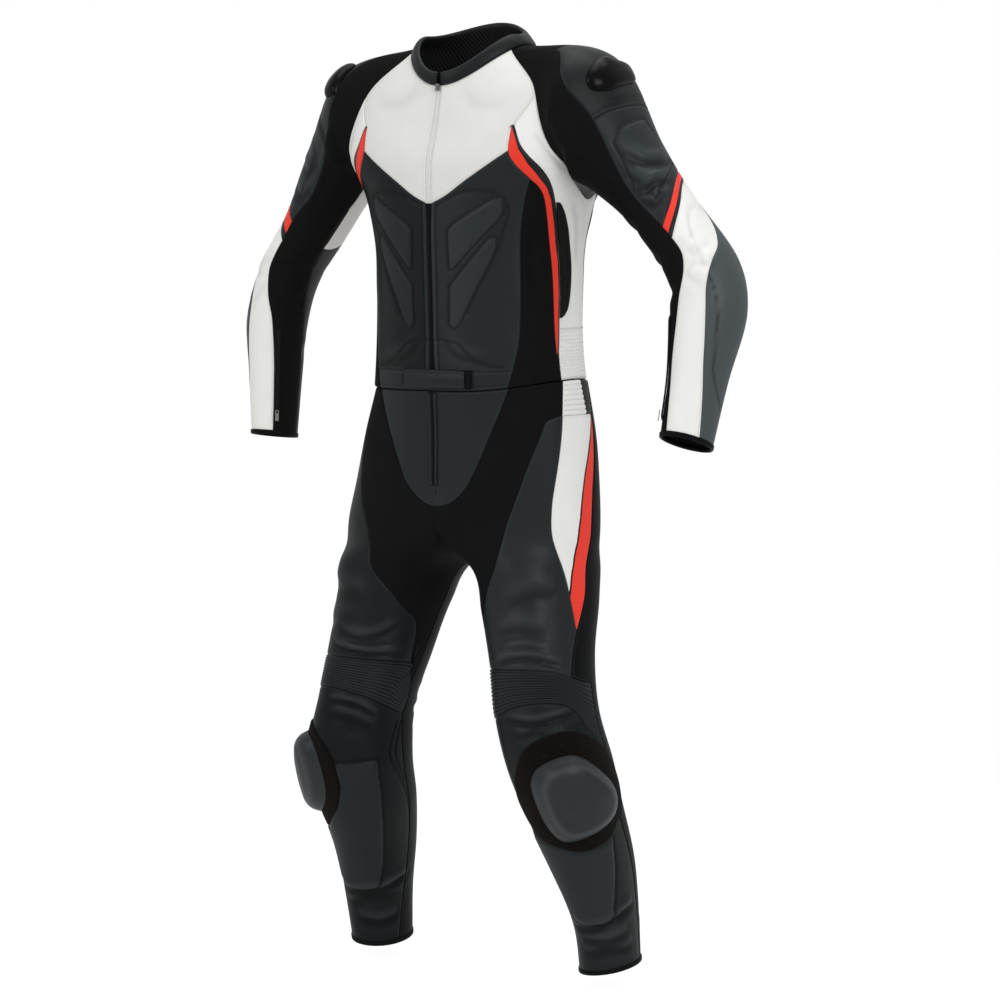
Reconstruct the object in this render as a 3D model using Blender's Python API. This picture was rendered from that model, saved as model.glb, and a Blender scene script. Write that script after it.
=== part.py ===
"""Two-piece motorcycle riding suit, filled out as if worn, built from sewn leather panels."""
import math

import bmesh
import bpy
from mathutils import Matrix, Vector

# ---------------------------------------------------------------- sizes, metres
HELD_HEIGHT = 1.40          # height above the trouser hems of the point the suit is held by
CLOTH = 0.0020              # thickness of a panel
SEAM = 0.0002               # each panel stops this far short of a seam
JACKET_HEM = 0.921
TROUSER_TOP = 0.9195
LEG_HEM = 0.032
NECK = 1.385
CUFF = 0.64
ARMPIT_EASE = 0.022         # least run outwards of the sleeve beside the armhole
HEM_RISE = {1: 0.018, -1: 0.0}   # how much the waist rides up at the side
RELAX_TURNS = 60            # evens out the corners inside a panel

# Torso sections: level, half width, front depth, back depth, middle, side rise, back rise, squareness
TORSO = (
    (0.880, 0.181, 0.130, 0.112, 0.000, 0.000, 0.000, 2.3),
    (0.935, 0.175, 0.130, 0.106, 0.000, 0.000, 0.000, 2.3),
    (1.000, 0.170, 0.132, 0.104, 0.000, 0.000, 0.000, 2.3),
    (1.080, 0.168, 0.135, 0.112, 0.000, 0.000, 0.000, 2.3),
    (1.150, 0.171, 0.138, 0.120, 0.000, 0.000, 0.005, 2.3),
    (1.210, 0.188, 0.139, 0.130, 0.000, 0.008, 0.015, 2.4),
    (1.270, 0.220, 0.136, 0.128, -0.003, 0.028, 0.030, 2.6),
    (1.325, 0.200, 0.118, 0.112, -0.006, 0.052, 0.045, 2.4),
    (1.385, 0.100, 0.094, 0.080, -0.018, 0.062, 0.060, 2.0),
)
RIM = (1.403, 0.084, 0.087, 0.078, -0.026, 0.060, 0.080, 2.0)   # top edge of the collar

# Armhole on the torso: sleeve angle, torso angle, level
ARMHOLE = (
    (-25, 110, 1.385), (0, 90, 1.385), (25, 70, 1.385), (45, 65.5, 1.342), (53, 63.9, 1.327),
    (90, 65.5, 1.270), (118, 75, 1.243), (150, 88, 1.216), (180, 97, 1.205), (212, 106, 1.216),
    (250, 118, 1.250), (285, 126, 1.296), (312, 124, 1.340), (335, 110, 1.385), (360, 90, 1.385),
    (385, 70, 1.385),
)

# Sleeve rings: distance along, x, y, z, lean, forward pitch, outer, front, back reach, squareness
ARM = {
    1: (
        (0.09, 0.206, -0.006, 1.331, 76, 0, 0.103, 0.100, 0.094, 2.3),
        (0.18, 0.272, 0.002, 1.260, 45, 0, 0.059, 0.072, 0.070, 2.2),
        (0.27, 0.328, 0.006, 1.199, 36, 4, 0.048, 0.062, 0.062, 2.1),
        (0.36, 0.403, 0.008, 1.108, 28, 10, 0.051, 0.060, 0.062, 2.1),
        (0.44, 0.418, 0.000, 1.050, 8, 16, 0.057, 0.056, 0.058, 2.1),
        (0.53, 0.416, -0.024, 0.952, 0, 18, 0.0435, 0.047, 0.049, 2.1),
        (0.64, 0.4125, -0.052, 0.852, -4, 20, 0.0395, 0.041, 0.043, 2.0),
    ),
    -1: (
        (0.09, 0.211, -0.006, 1.332, 76, 0, 0.085, 0.100, 0.094, 2.3),
        (0.18, 0.273, 0.000, 1.254, 42, 0, 0.0565, 0.069, 0.067, 2.2),
        (0.27, 0.321, -0.010, 1.165, 30, 4, 0.046, 0.057, 0.058, 2.1),
        (0.36, 0.365, -0.020, 1.092, 22, 6, 0.0445, 0.053, 0.055, 2.1),
        (0.44, 0.386, -0.026, 1.018, 8, 6, 0.0475, 0.048, 0.050, 2.1),
        (0.53, 0.3855, -0.032, 0.933, 2, 6, 0.0405, 0.043, 0.046, 2.1),
        (0.64, 0.380, -0.042, 0.835, 0, 8, 0.035, 0.038, 0.040, 2.0),
    ),
}

# Hip sections: level, half width, front depth, back depth, middle, squareness
HIPS = {
    1: (
        (0.700, 0.197, 0.120, 0.130, 0.000, 2.3),
        (0.780, 0.196, 0.121, 0.128, 0.000, 2.3),
        (0.860, 0.192, 0.122, 0.116, 0.000, 2.3),
        (0.920, 0.180, 0.126, 0.104, 0.000, 2.3),
    ),
    -1: (
        (0.700, 0.239, 0.120, 0.130, 0.000, 2.3),
        (0.780, 0.218, 0.121, 0.128, 0.000, 2.3),
        (0.860, 0.196, 0.122, 0.116, 0.000, 2.3),
        (0.920, 0.174, 0.126, 0.104, 0.000, 2.3),
    ),
}
CROTCH_ANGLE = 140          # leg angle of the centre front; the centre back is as far behind
CROTCH_DIP = 0.022

# Leg rings: level, x, y, lean, forward pitch, outer, front, back reach, squareness
LEG = {
    1: (
        (0.645, 0.111, -0.006, 4, 0, 0.085, 0.110, 0.106, 2.3),
        (0.590, 0.1225, -0.014, 6, 0, 0.084, 0.100, 0.094, 2.2),
        (0.510, 0.144, -0.040, 8, 2, 0.076, 0.088, 0.086, 2.1),
        (0.430, 0.167, -0.060, 8, 3, 0.076, 0.084, 0.082, 2.1),
        (0.350, 0.198, -0.068, 8, 0, 0.076, 0.084, 0.086, 2.1),
        (0.270, 0.211, -0.044, 8, -8, 0.063, 0.078, 0.088, 2.1),
        (0.190, 0.217, -0.008, 6, -10, 0.056, 0.068, 0.078, 2.1),
        (0.110, 0.221, 0.020, 5, -10, 0.046, 0.058, 0.062, 2.1),
        (0.020, 0.216, 0.042, 5, -8, 0.0445, 0.052, 0.052, 2.1),
    ),
    -1: (
        (0.645, 0.136, -0.014, 4, 0, 0.093, 0.110, 0.106, 2.3),
        (0.590, 0.146, -0.030, 6, 0, 0.082, 0.100, 0.094, 2.2),
        (0.510, 0.158, -0.052, 8, 2, 0.076, 0.088, 0.086, 2.1),
        (0.430, 0.174, -0.066, 8, 3, 0.070, 0.084, 0.082, 2.1),
        (0.350, 0.186, -0.068, 8, 0, 0.077, 0.084, 0.086, 2.1),
        (0.270, 0.193, -0.044, 8, -8, 0.070, 0.078, 0.088, 2.1),
        (0.190, 0.204, -0.008, 6, -10, 0.0555, 0.068, 0.078, 2.1),
        (0.110, 0.219, 0.020, 5, -10, 0.049, 0.058, 0.062, 2.1),
        (0.020, 0.227, 0.042, 5, -8, 0.043, 0.052, 0.052, 2.1),
    ),
}


# ---------------------------------------------------------------- curves
def smooth(keys, values, at):
    """Smooth interpolation of vectors or numbers kept at rising keys."""
    last = len(keys) - 1
    index = 0
    while index < last - 1 and at > keys[index + 1]:
        index += 1
    span = keys[index + 1] - keys[index]
    share = max(-0.5, min(1.5, (at - keys[index]) / span))

    def slope(i):
        low, high = max(i - 1, 0), min(i + 1, last)
        if low == i or high == i:
            return (values[high] - values[low]) / (keys[high] - keys[low])
        left = (values[i] - values[low]) / (keys[i] - keys[low])
        right = (values[high] - values[i]) / (keys[high] - keys[i])
        before, after = keys[i] - keys[low], keys[high] - keys[i]
        return (left * after + right * before) / (before + after)

    square, cube = share * share, share ** 3
    return (values[index] * (2 * cube - 3 * square + 1)
            + slope(index) * span * (cube - 2 * square + share)
            + values[index + 1] * (3 * square - 2 * cube)
            + slope(index + 1) * span * (cube - square))


def table_row(table, at):
    """All the columns of a section table at one level."""
    keys = [row[0] for row in table]
    return [smooth(keys, [row[column] for row in table], at) for column in range(1, len(table[0]))]


def reach(sine, cosine, side, fore, square):
    """Distance from the middle to a rounded outline in one direction."""
    return ((abs(sine) / side) ** square + (abs(cosine) / fore) ** square) ** (-1 / square)


# ---------------------------------------------------------------- the worn shape
def section_point(row, level, angle):
    half, front, back, middle, side_rise, back_rise, square = row
    sine, cosine = math.sin(math.radians(angle)), math.cos(math.radians(angle))
    out = reach(sine, cosine, half, front if cosine > 0 else back, square)
    rise = side_rise * sine * sine + back_rise * max(-cosine, 0) ** 2
    return Vector((out * sine, middle - out * cosine, level + rise))


def hem_lift(side, angle):
    return HEM_RISE[side] * math.sin(math.radians(angle)) ** 4


def torso(side, angle, level):
    """Angle 0 is the centre front, 90 the side, 180 the centre back."""
    point = section_point(table_row(TORSO, level), level, angle)
    point.x *= side
    point.z += hem_lift(side, angle) * max(0.0, min(1.0, (1 - level) / 0.079)) ** 2
    return point


def collar(side, angle, share):
    """Share 0 is the neck seam, 1 the top edge."""
    low = section_point(table_row(TORSO, NECK), NECK, angle)
    high = section_point(RIM[1:], RIM[0], angle)
    point = low.lerp(high, share)
    point.x *= side
    return point


def ring_point(middle, lean, pitch, outer, fore, aft, square, angle):
    lean, pitch, angle = math.radians(lean), math.radians(pitch), math.radians(angle)
    across = Vector((math.cos(lean), 0, math.sin(lean)))
    down = Vector((math.sin(lean), 0, -math.cos(lean)))
    ahead = Vector((0, -1, 0)) * math.cos(pitch) - down * math.sin(pitch)
    cosine, sine = math.cos(angle), math.sin(angle)
    out = reach(sine, cosine, fore if sine > 0 else aft, outer, square)
    return middle + across * (out * cosine) + ahead * (out * sine)


def arm(side, angle, along):
    """Angle 0 is the top or outside of the sleeve, 90 the front, 180 underneath."""
    turn = angle % 360
    keys = [row[0] for row in ARMHOLE]
    at_angle = smooth(keys, [row[1] for row in ARMHOLE], turn)
    at_level = min(NECK, smooth(keys, [row[2] for row in ARMHOLE], turn))
    points = [torso(1, at_angle, at_level)]
    stops = [0.0]
    for row in ARM[side]:
        points.append(ring_point(Vector(row[1:4]), *row[4:], angle))
        stops.append(row[0])
    points[1].x = max(points[1].x, points[0].x + ARMPIT_EASE)
    point = smooth(stops, points, along)
    point.x *= side
    return point


def leg(side, angle, level):
    """Angle 0 is the outside, 90 the front, 180 the inside, 270 the back."""
    turn = (angle + 180) % 360 - 180
    around = max(0.0, min(180.0, 90 - turn * 90 / CROTCH_ANGLE))
    share = ((angle % 360) - CROTCH_ANGLE) / (360 - 2 * CROTCH_ANGLE)
    stops, points = [], []
    for stop in (0.92, 0.86, 0.78, 0.70):
        row = table_row(HIPS[side], stop)
        row = row[:4] + [0, 0] + row[4:]
        if abs(turn) <= CROTCH_ANGLE:
            point = section_point(row, stop, around)
            if stop == 0.92:
                point.z += hem_lift(side, around)
        else:
            fore, aft = section_point(row, stop, 0), section_point(row, stop, 180)
            point = fore.lerp(aft, 0.5 - 0.5 * math.cos(math.pi * share))
            if stop == 0.70:
                point.z -= CROTCH_DIP * math.sin(math.pi * share) ** 0.8
        stops.append(-stop)
        points.append(point)
    for row in LEG[side]:
        points.append(ring_point(Vector((row[1], row[2], row[0])), *row[3:], angle))
        stops.append(-row[0])
    point = smooth(stops, points, -level)
    if level >= 0.70:
        point.x = max(point.x, 0.0)
    point.x *= side
    return point


# ---------------------------------------------------------------- seams, as angle and level
def levels(angle, *stops):
    return tuple((angle, stop) for stop in stops)


SEAMS = {
    "zip_chest": levels(2, 1.385, 1.352, 1.318, 1.282, 1.245, 1.206),
    "zip_chest_far": levels(-2, 1.385, 1.352, 1.318, 1.282, 1.245, 1.206),
    "zip_belly": levels(2, 1.206, 1.164, 1.122, 1.080, 1.037, 0.994, 0.950, JACKET_HEM),
    "zip_belly_far": levels(-2, 1.206, 1.164, 1.122, 1.080, 1.037, 0.994, 0.950, JACKET_HEM),
    "neck_middle": ((-2, NECK), (2, NECK)),
    "vee_middle": ((-2, 1.206), (2, 1.206)),
    "band_middle": ((-2, 0.950), (2, 0.950)),
    "hem_middle": ((-2, JACKET_HEM), (2, JACKET_HEM)),
    "neck": ((2, NECK), (19, NECK), (36, NECK), (53, NECK), (70, NECK)),
    "neck_back": ((110, NECK), (133, NECK), (156, NECK), (180, NECK)),
    "armhole": tuple((row[1], row[2]) for row in ARMHOLE[2:14]),
    "vee": ((2, 1.206), (13, 1.218), (25, 1.236), (37, 1.253), (48.9, 1.270)),
    "yoke_side": ((63.9, 1.327), (52.4, 1.299)),
    "stripe_in": ((51.2, 1.299), (48.9, 1.270), (52, 1.251), (58.8, 1.232), (63.4, 1.221), (66.9, 1.206),
                 (71.2, 1.168), (74.9, 1.12), (76.4, 1.07), (77, 1.015), (77.8, 0.975)),
    "stripe_out": ((52.4, 1.299), (54.2, 1.275), (58.2, 1.258), (64, 1.241), (68.8, 1.225), (72.6, 1.206),
                  (77.2, 1.168), (80.3, 1.12), (81.1, 1.07), (80.4, 1.015), (79.4, 0.975)),
    "stripe_top": ((52.4, 1.299), (51.2, 1.299)),
    "stripe_foot": ((77.8, 0.975), (79.4, 0.975)),
    "below_stripe": ((79.4, 0.975), (79.8, JACKET_HEM)),
    "belly_side": ((58.8, 1.232), (57, 1.188), (57, 1.140), (57.5, 1.092), (57.5, 1.044), (56.5, 0.996),
                  (53, 0.950), (50, JACKET_HEM)),
    "band_top": ((2, 0.950), (10, 0.950), (18, 0.950), (27, 0.950), (36, 0.950), (45, 0.950), (53, 0.950)),
    "band_foot": ((2, JACKET_HEM), (10, JACKET_HEM), (18, JACKET_HEM), (27, JACKET_HEM),
                  (35, JACKET_HEM), (43, JACKET_HEM), (50, JACKET_HEM)),
    "hem_stretch": ((50, JACKET_HEM), (65, JACKET_HEM), (79.8, JACKET_HEM)),
    "hem_side": ((79.8, JACKET_HEM), (85, JACKET_HEM), (91, JACKET_HEM), (97, JACKET_HEM),
                (102.5, JACKET_HEM), (108, JACKET_HEM)),
    "side_back": ((106, 1.216), (107, 1.190), (108, 1.165), (108, 1.140), (108, 1.115), (108, 1.090),
                  (108, 1.065), (108, 1.040), (108, 1.016), (108, 0.992), (108, 0.968), (108, 0.945),
                  (108, JACKET_HEM)),
    "back_cross": ((106, 1.216), (131, 1.212), (156, 1.205), (180, 1.200)),
    "spine_upper": levels(180, 1.385, 1.339, 1.293, 1.246, 1.200),
    "spine_lower": levels(180, 1.200, 1.176, 1.153, 1.130, 1.107, 1.083, 1.060, 1.037, 1.014, 0.990,
                          0.967, 0.944, JACKET_HEM),
    "hem_back": ((108, JACKET_HEM), (132, JACKET_HEM), (156, JACKET_HEM), (180, JACKET_HEM)),
}
SLEEVE_SEAMS = {
    "armhole": tuple((row[0], 0.0) for row in ARMHOLE[2:14]),
    "neck": ((25, 0), (12.5, 0), (0, 0), (-12.5, 0), (-25, 0)),
    "front": ((25, 0), (25, 0.052), (47.6, 0.068), (60, 0.100), (62, 0.140), (74.6, 0.185), (83, 0.230),
              (84, 0.272), (79.2, 0.309), (77.5, 0.325), (78, 0.347), (88, 0.372), (101, 0.402), (110, 0.435),
              (116.5, 0.472), (122, 0.520), (117, 0.580), (110, CUFF)),
    "under": ((150, 0), (150, 0.035), (151, 0.070), (152, 0.105), (154, 0.140), (156, 0.185), (158, 0.230),
              (163, 0.272), (169, 0.300), (176, 0.325), (182, 0.347), (188, 0.372), (193, 0.402),
              (197, 0.435), (199, 0.472), (200, 0.520), (200, 0.580), (200, CUFF)),
    "rear": ((-25, 0), (-25, 0.052), (-42, 0.066), (-54, 0.100), (-60, 0.140), (-60, 0.163), (-60, 0.185),
             (-60, 0.203), (-60, 0.218), (-60, 0.238), (-64, 0.285), (-68, 0.330), (-71, 0.370),
             (-73, 0.410), (-75, 0.455), (-76, 0.510), (-76, 0.575), (-76, CUFF)),
    "cap_top": ((25, 0.052), (12.5, 0.052), (0, 0.052), (-12.5, 0.052), (-25, 0.052)),
    "cap_foot": ((62, 0.140), (32, 0.1445), (2, 0.1448), (-28, 0.143), (-60, 0.140)),
    "band_top": ((79.2, 0.309), (48, 0.2875), (18, 0.266), (-20, 0.240), (-60, 0.218)),
    "band_foot": ((77.5, 0.325), (52, 0.305), (22, 0.284), (-18, 0.258), (-60, 0.238)),
    "elbow": ((-60, 0.238), (-31, 0.300), (7, 0.340), (42, 0.372), (58, 0.410), (61, 0.455),
              (53.3, 0.510), (40.2, 0.575), (28, CUFF)),
    "across": ((62, 0.140), (80, 0.140), (98, 0.140), (116, 0.140), (135, 0.140), (154, 0.140)),
    "cuff_inner": ((110, CUFF), (128, CUFF), (146, CUFF), (164, CUFF), (182, CUFF),
                  (200, CUFF)),
    "cuff_front": ((110, CUFF), (90, CUFF), (69, CUFF), (48, CUFF), (28, CUFF)),
    "cuff_outer": ((28, CUFF), (-6, CUFF), (-41, CUFF), (-76, CUFF)),
    "cuff_rear": ((200, CUFF), (214, CUFF), (228, CUFF), (242, CUFF), (256, CUFF), (270, CUFF),
                  (284, CUFF)),
    "across_rear": ((154, 0.140), (178, 0.140), (202, 0.140), (227, 0.140), (252, 0.140), (276, 0.140),
                    (300, 0.140)),
}
# the wearer's right arm hangs differently, so its seams lie further forward
RIGHT_SLEEVE_SEAMS = dict(SLEEVE_SEAMS)
RIGHT_SLEEVE_SEAMS["front"] = (
    (25, 0), (25, 0.052), (62, 0.068), (84, 0.100), (99, 0.137), (98.5, 0.180), (97, 0.215), (89, 0.243),
    (82, 0.266), (82, 0.302), (83.5, 0.330), (87, 0.360), (100, 0.398), (117, 0.435), (124, 0.472),
    (126, 0.520), (126.5, 0.580), (125, CUFF))
RIGHT_SLEEVE_SEAMS["cap_foot"] = ((99, 0.137), (58, 0.138), (18, 0.138), (-22, 0.139), (-60, 0.140))
RIGHT_SLEEVE_SEAMS["across"] = (
    (99, 0.137), (112, 0.137), (126, 0.138), (139, 0.139), (152, 0.140), (165, 0.140))
RIGHT_SLEEVE_SEAMS["across_rear"] = (
    (165, 0.140), (187, 0.140), (210, 0.140), (232, 0.140), (255, 0.140), (277, 0.140), (300, 0.140))
RIGHT_SLEEVE_SEAMS["band_top"] = ((82, 0.266), (48, 0.251), (18, 0.238), (-20, 0.226), (-60, 0.218))
RIGHT_SLEEVE_SEAMS["band_foot"] = ((82, 0.302), (52, 0.284), (22, 0.268), (-18, 0.252), (-60, 0.238))
RIGHT_SLEEVE_SEAMS["under"] = (
    (150, 0), (150, 0.035), (152, 0.070), (157, 0.105), (165, 0.140), (170, 0.185), (159, 0.230), (157, 0.272),
    (160, 0.300), (164, 0.325), (171, 0.347), (177, 0.372), (183, 0.402), (189, 0.435), (194, 0.472),
    (198, 0.520), (200, 0.580), (200, CUFF))
RIGHT_SLEEVE_SEAMS["cuff_inner"] = (
    (125, CUFF), (140, CUFF), (155, CUFF), (170, CUFF), (185, CUFF), (200, CUFF))
RIGHT_SLEEVE_SEAMS["cuff_front"] = ((125, CUFF), (101, CUFF), (76, CUFF), (52, CUFF), (28, CUFF))
LEG_SEAMS = {
    "waist_fly": ((140, TROUSER_TOP), (120, TROUSER_TOP), (100, TROUSER_TOP), (80, TROUSER_TOP),
                  (61, TROUSER_TOP)),
    "waist_stretch": ((61, TROUSER_TOP), (50, TROUSER_TOP), (39, TROUSER_TOP), (27, TROUSER_TOP),
                      (16, TROUSER_TOP)),
    "waist_rib": ((16, TROUSER_TOP), (4, TROUSER_TOP), (-8, TROUSER_TOP), (-20, TROUSER_TOP)),
    "waist_back": ((-20, TROUSER_TOP), (-37, TROUSER_TOP), (-54, TROUSER_TOP), (-71, TROUSER_TOP),
                   (-88, TROUSER_TOP), (-105, TROUSER_TOP), (-122, TROUSER_TOP), (-140, TROUSER_TOP)),
    "fly_middle": levels(140, TROUSER_TOP, 0.876, 0.832, 0.787, 0.742),
    "fly_edge": ((61, TROUSER_TOP), (69, 0.885), (78, 0.850), (87, 0.815), (97, 0.783), (106, 0.764),
                 (116, 0.751), (127, 0.744), (140, 0.742)),
    "crotch_front": ((140, 0.742), (140, 0.700)),
    "crotch": ((140, 0.700), (158, 0.700), (176, 0.700), (195, 0.700), (208, 0.700), (220, 0.700)),
    "inner_back": ((195, 0.700), (192, 0.620), (187, 0.540), (182, 0.464)),
    "rib_side": ((16, TROUSER_TOP), (19.8, 0.880)),
    "rib_rear": ((-20, TROUSER_TOP), (-16, 0.880)),
    "thigh_top": ((19.8, 0.880), (23.5, 0.880), (27, 0.878), (31, 0.876), (34.2, 0.872)),
    "thigh": ((34.2, 0.872), (40, 0.845), (46.8, 0.810), (53.5, 0.770), (59, 0.730), (67.4, 0.695),
              (86.1, 0.660), (104, 0.625), (120, 0.587), (141, 0.548), (163, 0.501)),
    "stripe_front": ((19.8, 0.880), (23, 0.842), (26.2, 0.800), (29.1, 0.762), (29.7, 0.728), (29.9, 0.690),
                    (30, 0.650), (25.1, 0.612), (20.2, 0.580), (13, 0.546)),
    "stripe_rear": ((-16, 0.880), (-14, 0.842), (-12, 0.800), (-9, 0.762), (-7, 0.728), (-6.5, 0.690),
                   (-6, 0.650), (-2, 0.612), (5.5, 0.580), (13, 0.546)),
    "stripe_top": ((19.8, 0.880), (8, 0.880), (-4, 0.880), (-16, 0.880)),
    "below_stripe": ((13, 0.546), (22, 0.479)),
    "rib_top": ((-15, 0.469), (4, 0.472), (22, 0.479), (44, 0.489), (82, 0.497), (122, 0.502), (163, 0.501),
               (168, 0.492), (173, 0.483), (178, 0.474), (182, 0.464)),
    "rib_foot": ((-15, 0.368), (4, 0.396), (22, 0.430), (44, 0.443), (80, 0.444), (118, 0.4335), (152, 0.4245),
                (160, 0.422), (167, 0.420), (174, 0.419), (180, 0.418)),
    "rib_outer": ((-15, 0.469), (-15, 0.418), (-15, 0.368)),
    "rib_inner": ((182, 0.464), (183, 0.440), (180, 0.418)),
    "shin_outer": ((-15, 0.368), (-20, 0.318), (-24, 0.260), (-27, 0.200), (-29, 0.140), (-30, 0.083),
                  (-30, LEG_HEM)),
    "shin_inner": ((180, 0.418), (179, 0.350), (178, 0.285), (177, 0.220), (176, 0.155), (175, 0.090),
                  (175, LEG_HEM)),
    "hem_front": ((-30, LEG_HEM), (-8, LEG_HEM), (14, LEG_HEM), (36, LEG_HEM), (58, LEG_HEM), (80, LEG_HEM),
                  (102, LEG_HEM), (120, LEG_HEM), (139, LEG_HEM), (157, LEG_HEM), (175, LEG_HEM)),
    "hem_back": ((-30, LEG_HEM), (-61, LEG_HEM), (-92, LEG_HEM), (-123, LEG_HEM), (-154, LEG_HEM),
                 (-185, LEG_HEM)),
    "seat": levels(-140, TROUSER_TOP, 0.883, 0.847, 0.810, 0.774, 0.737, 0.700),
    "thigh_back": ((13, 0.546), (-13, 0.546), (-40, 0.545), (-66, 0.545), (-93, 0.544), (-120, 0.543),
                  (-146, 0.541), (-173, 0.540)),
    "knee_back": ((-15, 0.469), (-48, 0.468), (-80, 0.467), (-113, 0.466), (-146, 0.465), (-178, 0.464)),
}
# the wearer's right leg is turned out a little more, so its seams run further round
RIGHT_LEG_SEAMS = dict(LEG_SEAMS)
RIGHT_LEG_SEAMS["rib_side"] = ((16, TROUSER_TOP), (18, 0.880))
RIGHT_LEG_SEAMS["thigh_top"] = ((18, 0.880), (22, 0.880), (26, 0.878), (30, 0.876), (34, 0.872))
RIGHT_LEG_SEAMS["stripe_top"] = ((18, 0.880), (6.7, 0.880), (-4.6, 0.880), (-16, 0.880))
RIGHT_LEG_SEAMS["thigh"] = (
    (34, 0.872), (35, 0.845), (36.6, 0.810), (40.5, 0.770), (44.6, 0.730), (56, 0.695), (86, 0.662),
    (109, 0.626), (135, 0.589), (158, 0.560), (168, 0.501))
RIGHT_LEG_SEAMS["stripe_front"] = (
    (18, 0.880), (16, 0.842), (16, 0.800), (16, 0.762), (16, 0.728), (15, 0.690), (16, 0.650), (19, 0.612),
    (19, 0.580), (13, 0.546))
RIGHT_LEG_SEAMS["stripe_rear"] = (
    (-16, 0.880), (-19, 0.842), (-22, 0.800), (-23, 0.762), (-20, 0.728), (-15, 0.690), (-9, 0.650),
    (-1, 0.612), (6, 0.580), (13, 0.546))
RIGHT_LEG_SEAMS["rib_top"] = (
    (-15, 0.469), (4, 0.472), (22, 0.479), (44, 0.489), (85, 0.497), (127, 0.502), (168, 0.501),
    (171.5, 0.492), (175.5, 0.483), (179, 0.474), (182, 0.464))
RIGHT_LEG_SEAMS["rib_foot"] = (
    (-15, 0.375), (4, 0.401), (22, 0.425), (44, 0.438), (80, 0.448), (118, 0.4445), (152, 0.431), (160, 0.428),
    (168, 0.425), (175, 0.422), (181, 0.419))
RIGHT_LEG_SEAMS["rib_outer"] = ((-15, 0.469), (-15, 0.422), (-15, 0.375))
RIGHT_LEG_SEAMS["rib_inner"] = ((182, 0.464), (186, 0.441), (181, 0.419))
RIGHT_LEG_SEAMS["shin_outer"] = (
    (-15, 0.375), (-20, 0.322), (-24, 0.262), (-27, 0.200), (-29, 0.140), (-30, 0.083), (-30, LEG_HEM))
RIGHT_LEG_SEAMS["shin_inner"] = (
    (181, 0.419), (187, 0.350), (195, 0.285), (198, 0.220), (190.4, 0.155), (175.7, 0.090), (163.5, LEG_HEM))
RIGHT_LEG_SEAMS["hem_front"] = (
    (-30, LEG_HEM), (-10, LEG_HEM), (10, LEG_HEM), (30, LEG_HEM), (50, LEG_HEM), (70, LEG_HEM), (90, LEG_HEM),
    (109, LEG_HEM), (128, LEG_HEM), (146, LEG_HEM), (163.5, LEG_HEM))
RIGHT_LEG_SEAMS["hem_back"] = (
    (-30, LEG_HEM), (-63, LEG_HEM), (-97, LEG_HEM), (-130, LEG_HEM), (-163, LEG_HEM), (-196.5, LEG_HEM))

# Patches: the form and four sides in order round the patch: one edge going down, the foot, the other
# edge going down, the top.  Each side is a chain of seam stretches (seam, first point, last point) and,
# where the seam is met from the far side of the limb, the turn to add to its angles.
JACKET = {
    "chest": (
        ((("zip_chest", 0, 5),), (("vee", 0, 4),),
         (("armhole", 0, 2), ("yoke_side", 0, 1), ("stripe_top", 0, 1), ("stripe_in", 0, 1)),
         (("neck", 0, 4),)),),
    "belly": (
        ((("zip_belly", 0, 6),), (("band_top", 0, 6),), (("belly_side", 0, 6),),
         (("vee", 0, 4), ("stripe_in", 1, 3))),),
    "stretch_side": (
        ((("belly_side", 0, 7),), (("hem_stretch", 0, 2),),
         (("stripe_in", 5, 10), ("stripe_foot", 0, 1), ("below_stripe", 0, 1)), (("stripe_in", 3, 5),)),),
    "chest_stripe": (
        ((("stripe_in", 0, 10),), (("stripe_foot", 0, 1),), (("stripe_out", 0, 10),),
         (("stripe_top", 1, 0),)),),
    "side_panel": (
        ((("yoke_side", 0, 1), ("stripe_out", 0, 10), ("below_stripe", 0, 1)), (("hem_side", 0, 5),),
         (("side_back", 0, 12),), (("armhole", 2, 7),)),),
}
JACKET_WHOLE = {
    "back_upper": (
        ((("armhole", 11, 7),), (("back_cross", 0, 3),), (("spine_upper", 0, 4),), (("neck_back", 0, 3),)),),
    "back_lower": (
        ((("side_back", 0, 12),), (("hem_back", 0, 3),), (("spine_lower", 0, 12),),
         (("back_cross", 0, 3),)),),
    "hem_band": (
        ((("zip_belly", 6, 7),), (("band_foot", 0, 6),), (("belly_side", 6, 7),), (("band_top", 0, 6),)),),
}
JACKET_MIDDLE = {
    "chest_left": (((("zip_chest_far", 0, 5),), (("vee_middle", 0, 1),), (("zip_chest", 0, 5),),
                    (("neck_middle", 0, 1),)),),
    "front_zip": (((("zip_belly_far", 0, 6),), (("band_middle", 0, 1),), (("zip_belly", 0, 6),),
                   (("vee_middle", 0, 1),)),),
    "hem_band": (((("zip_belly_far", 6, 7),), (("hem_middle", 0, 1),), (("zip_belly", 6, 7),),
                  (("band_middle", 0, 1),)),),
}
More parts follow.
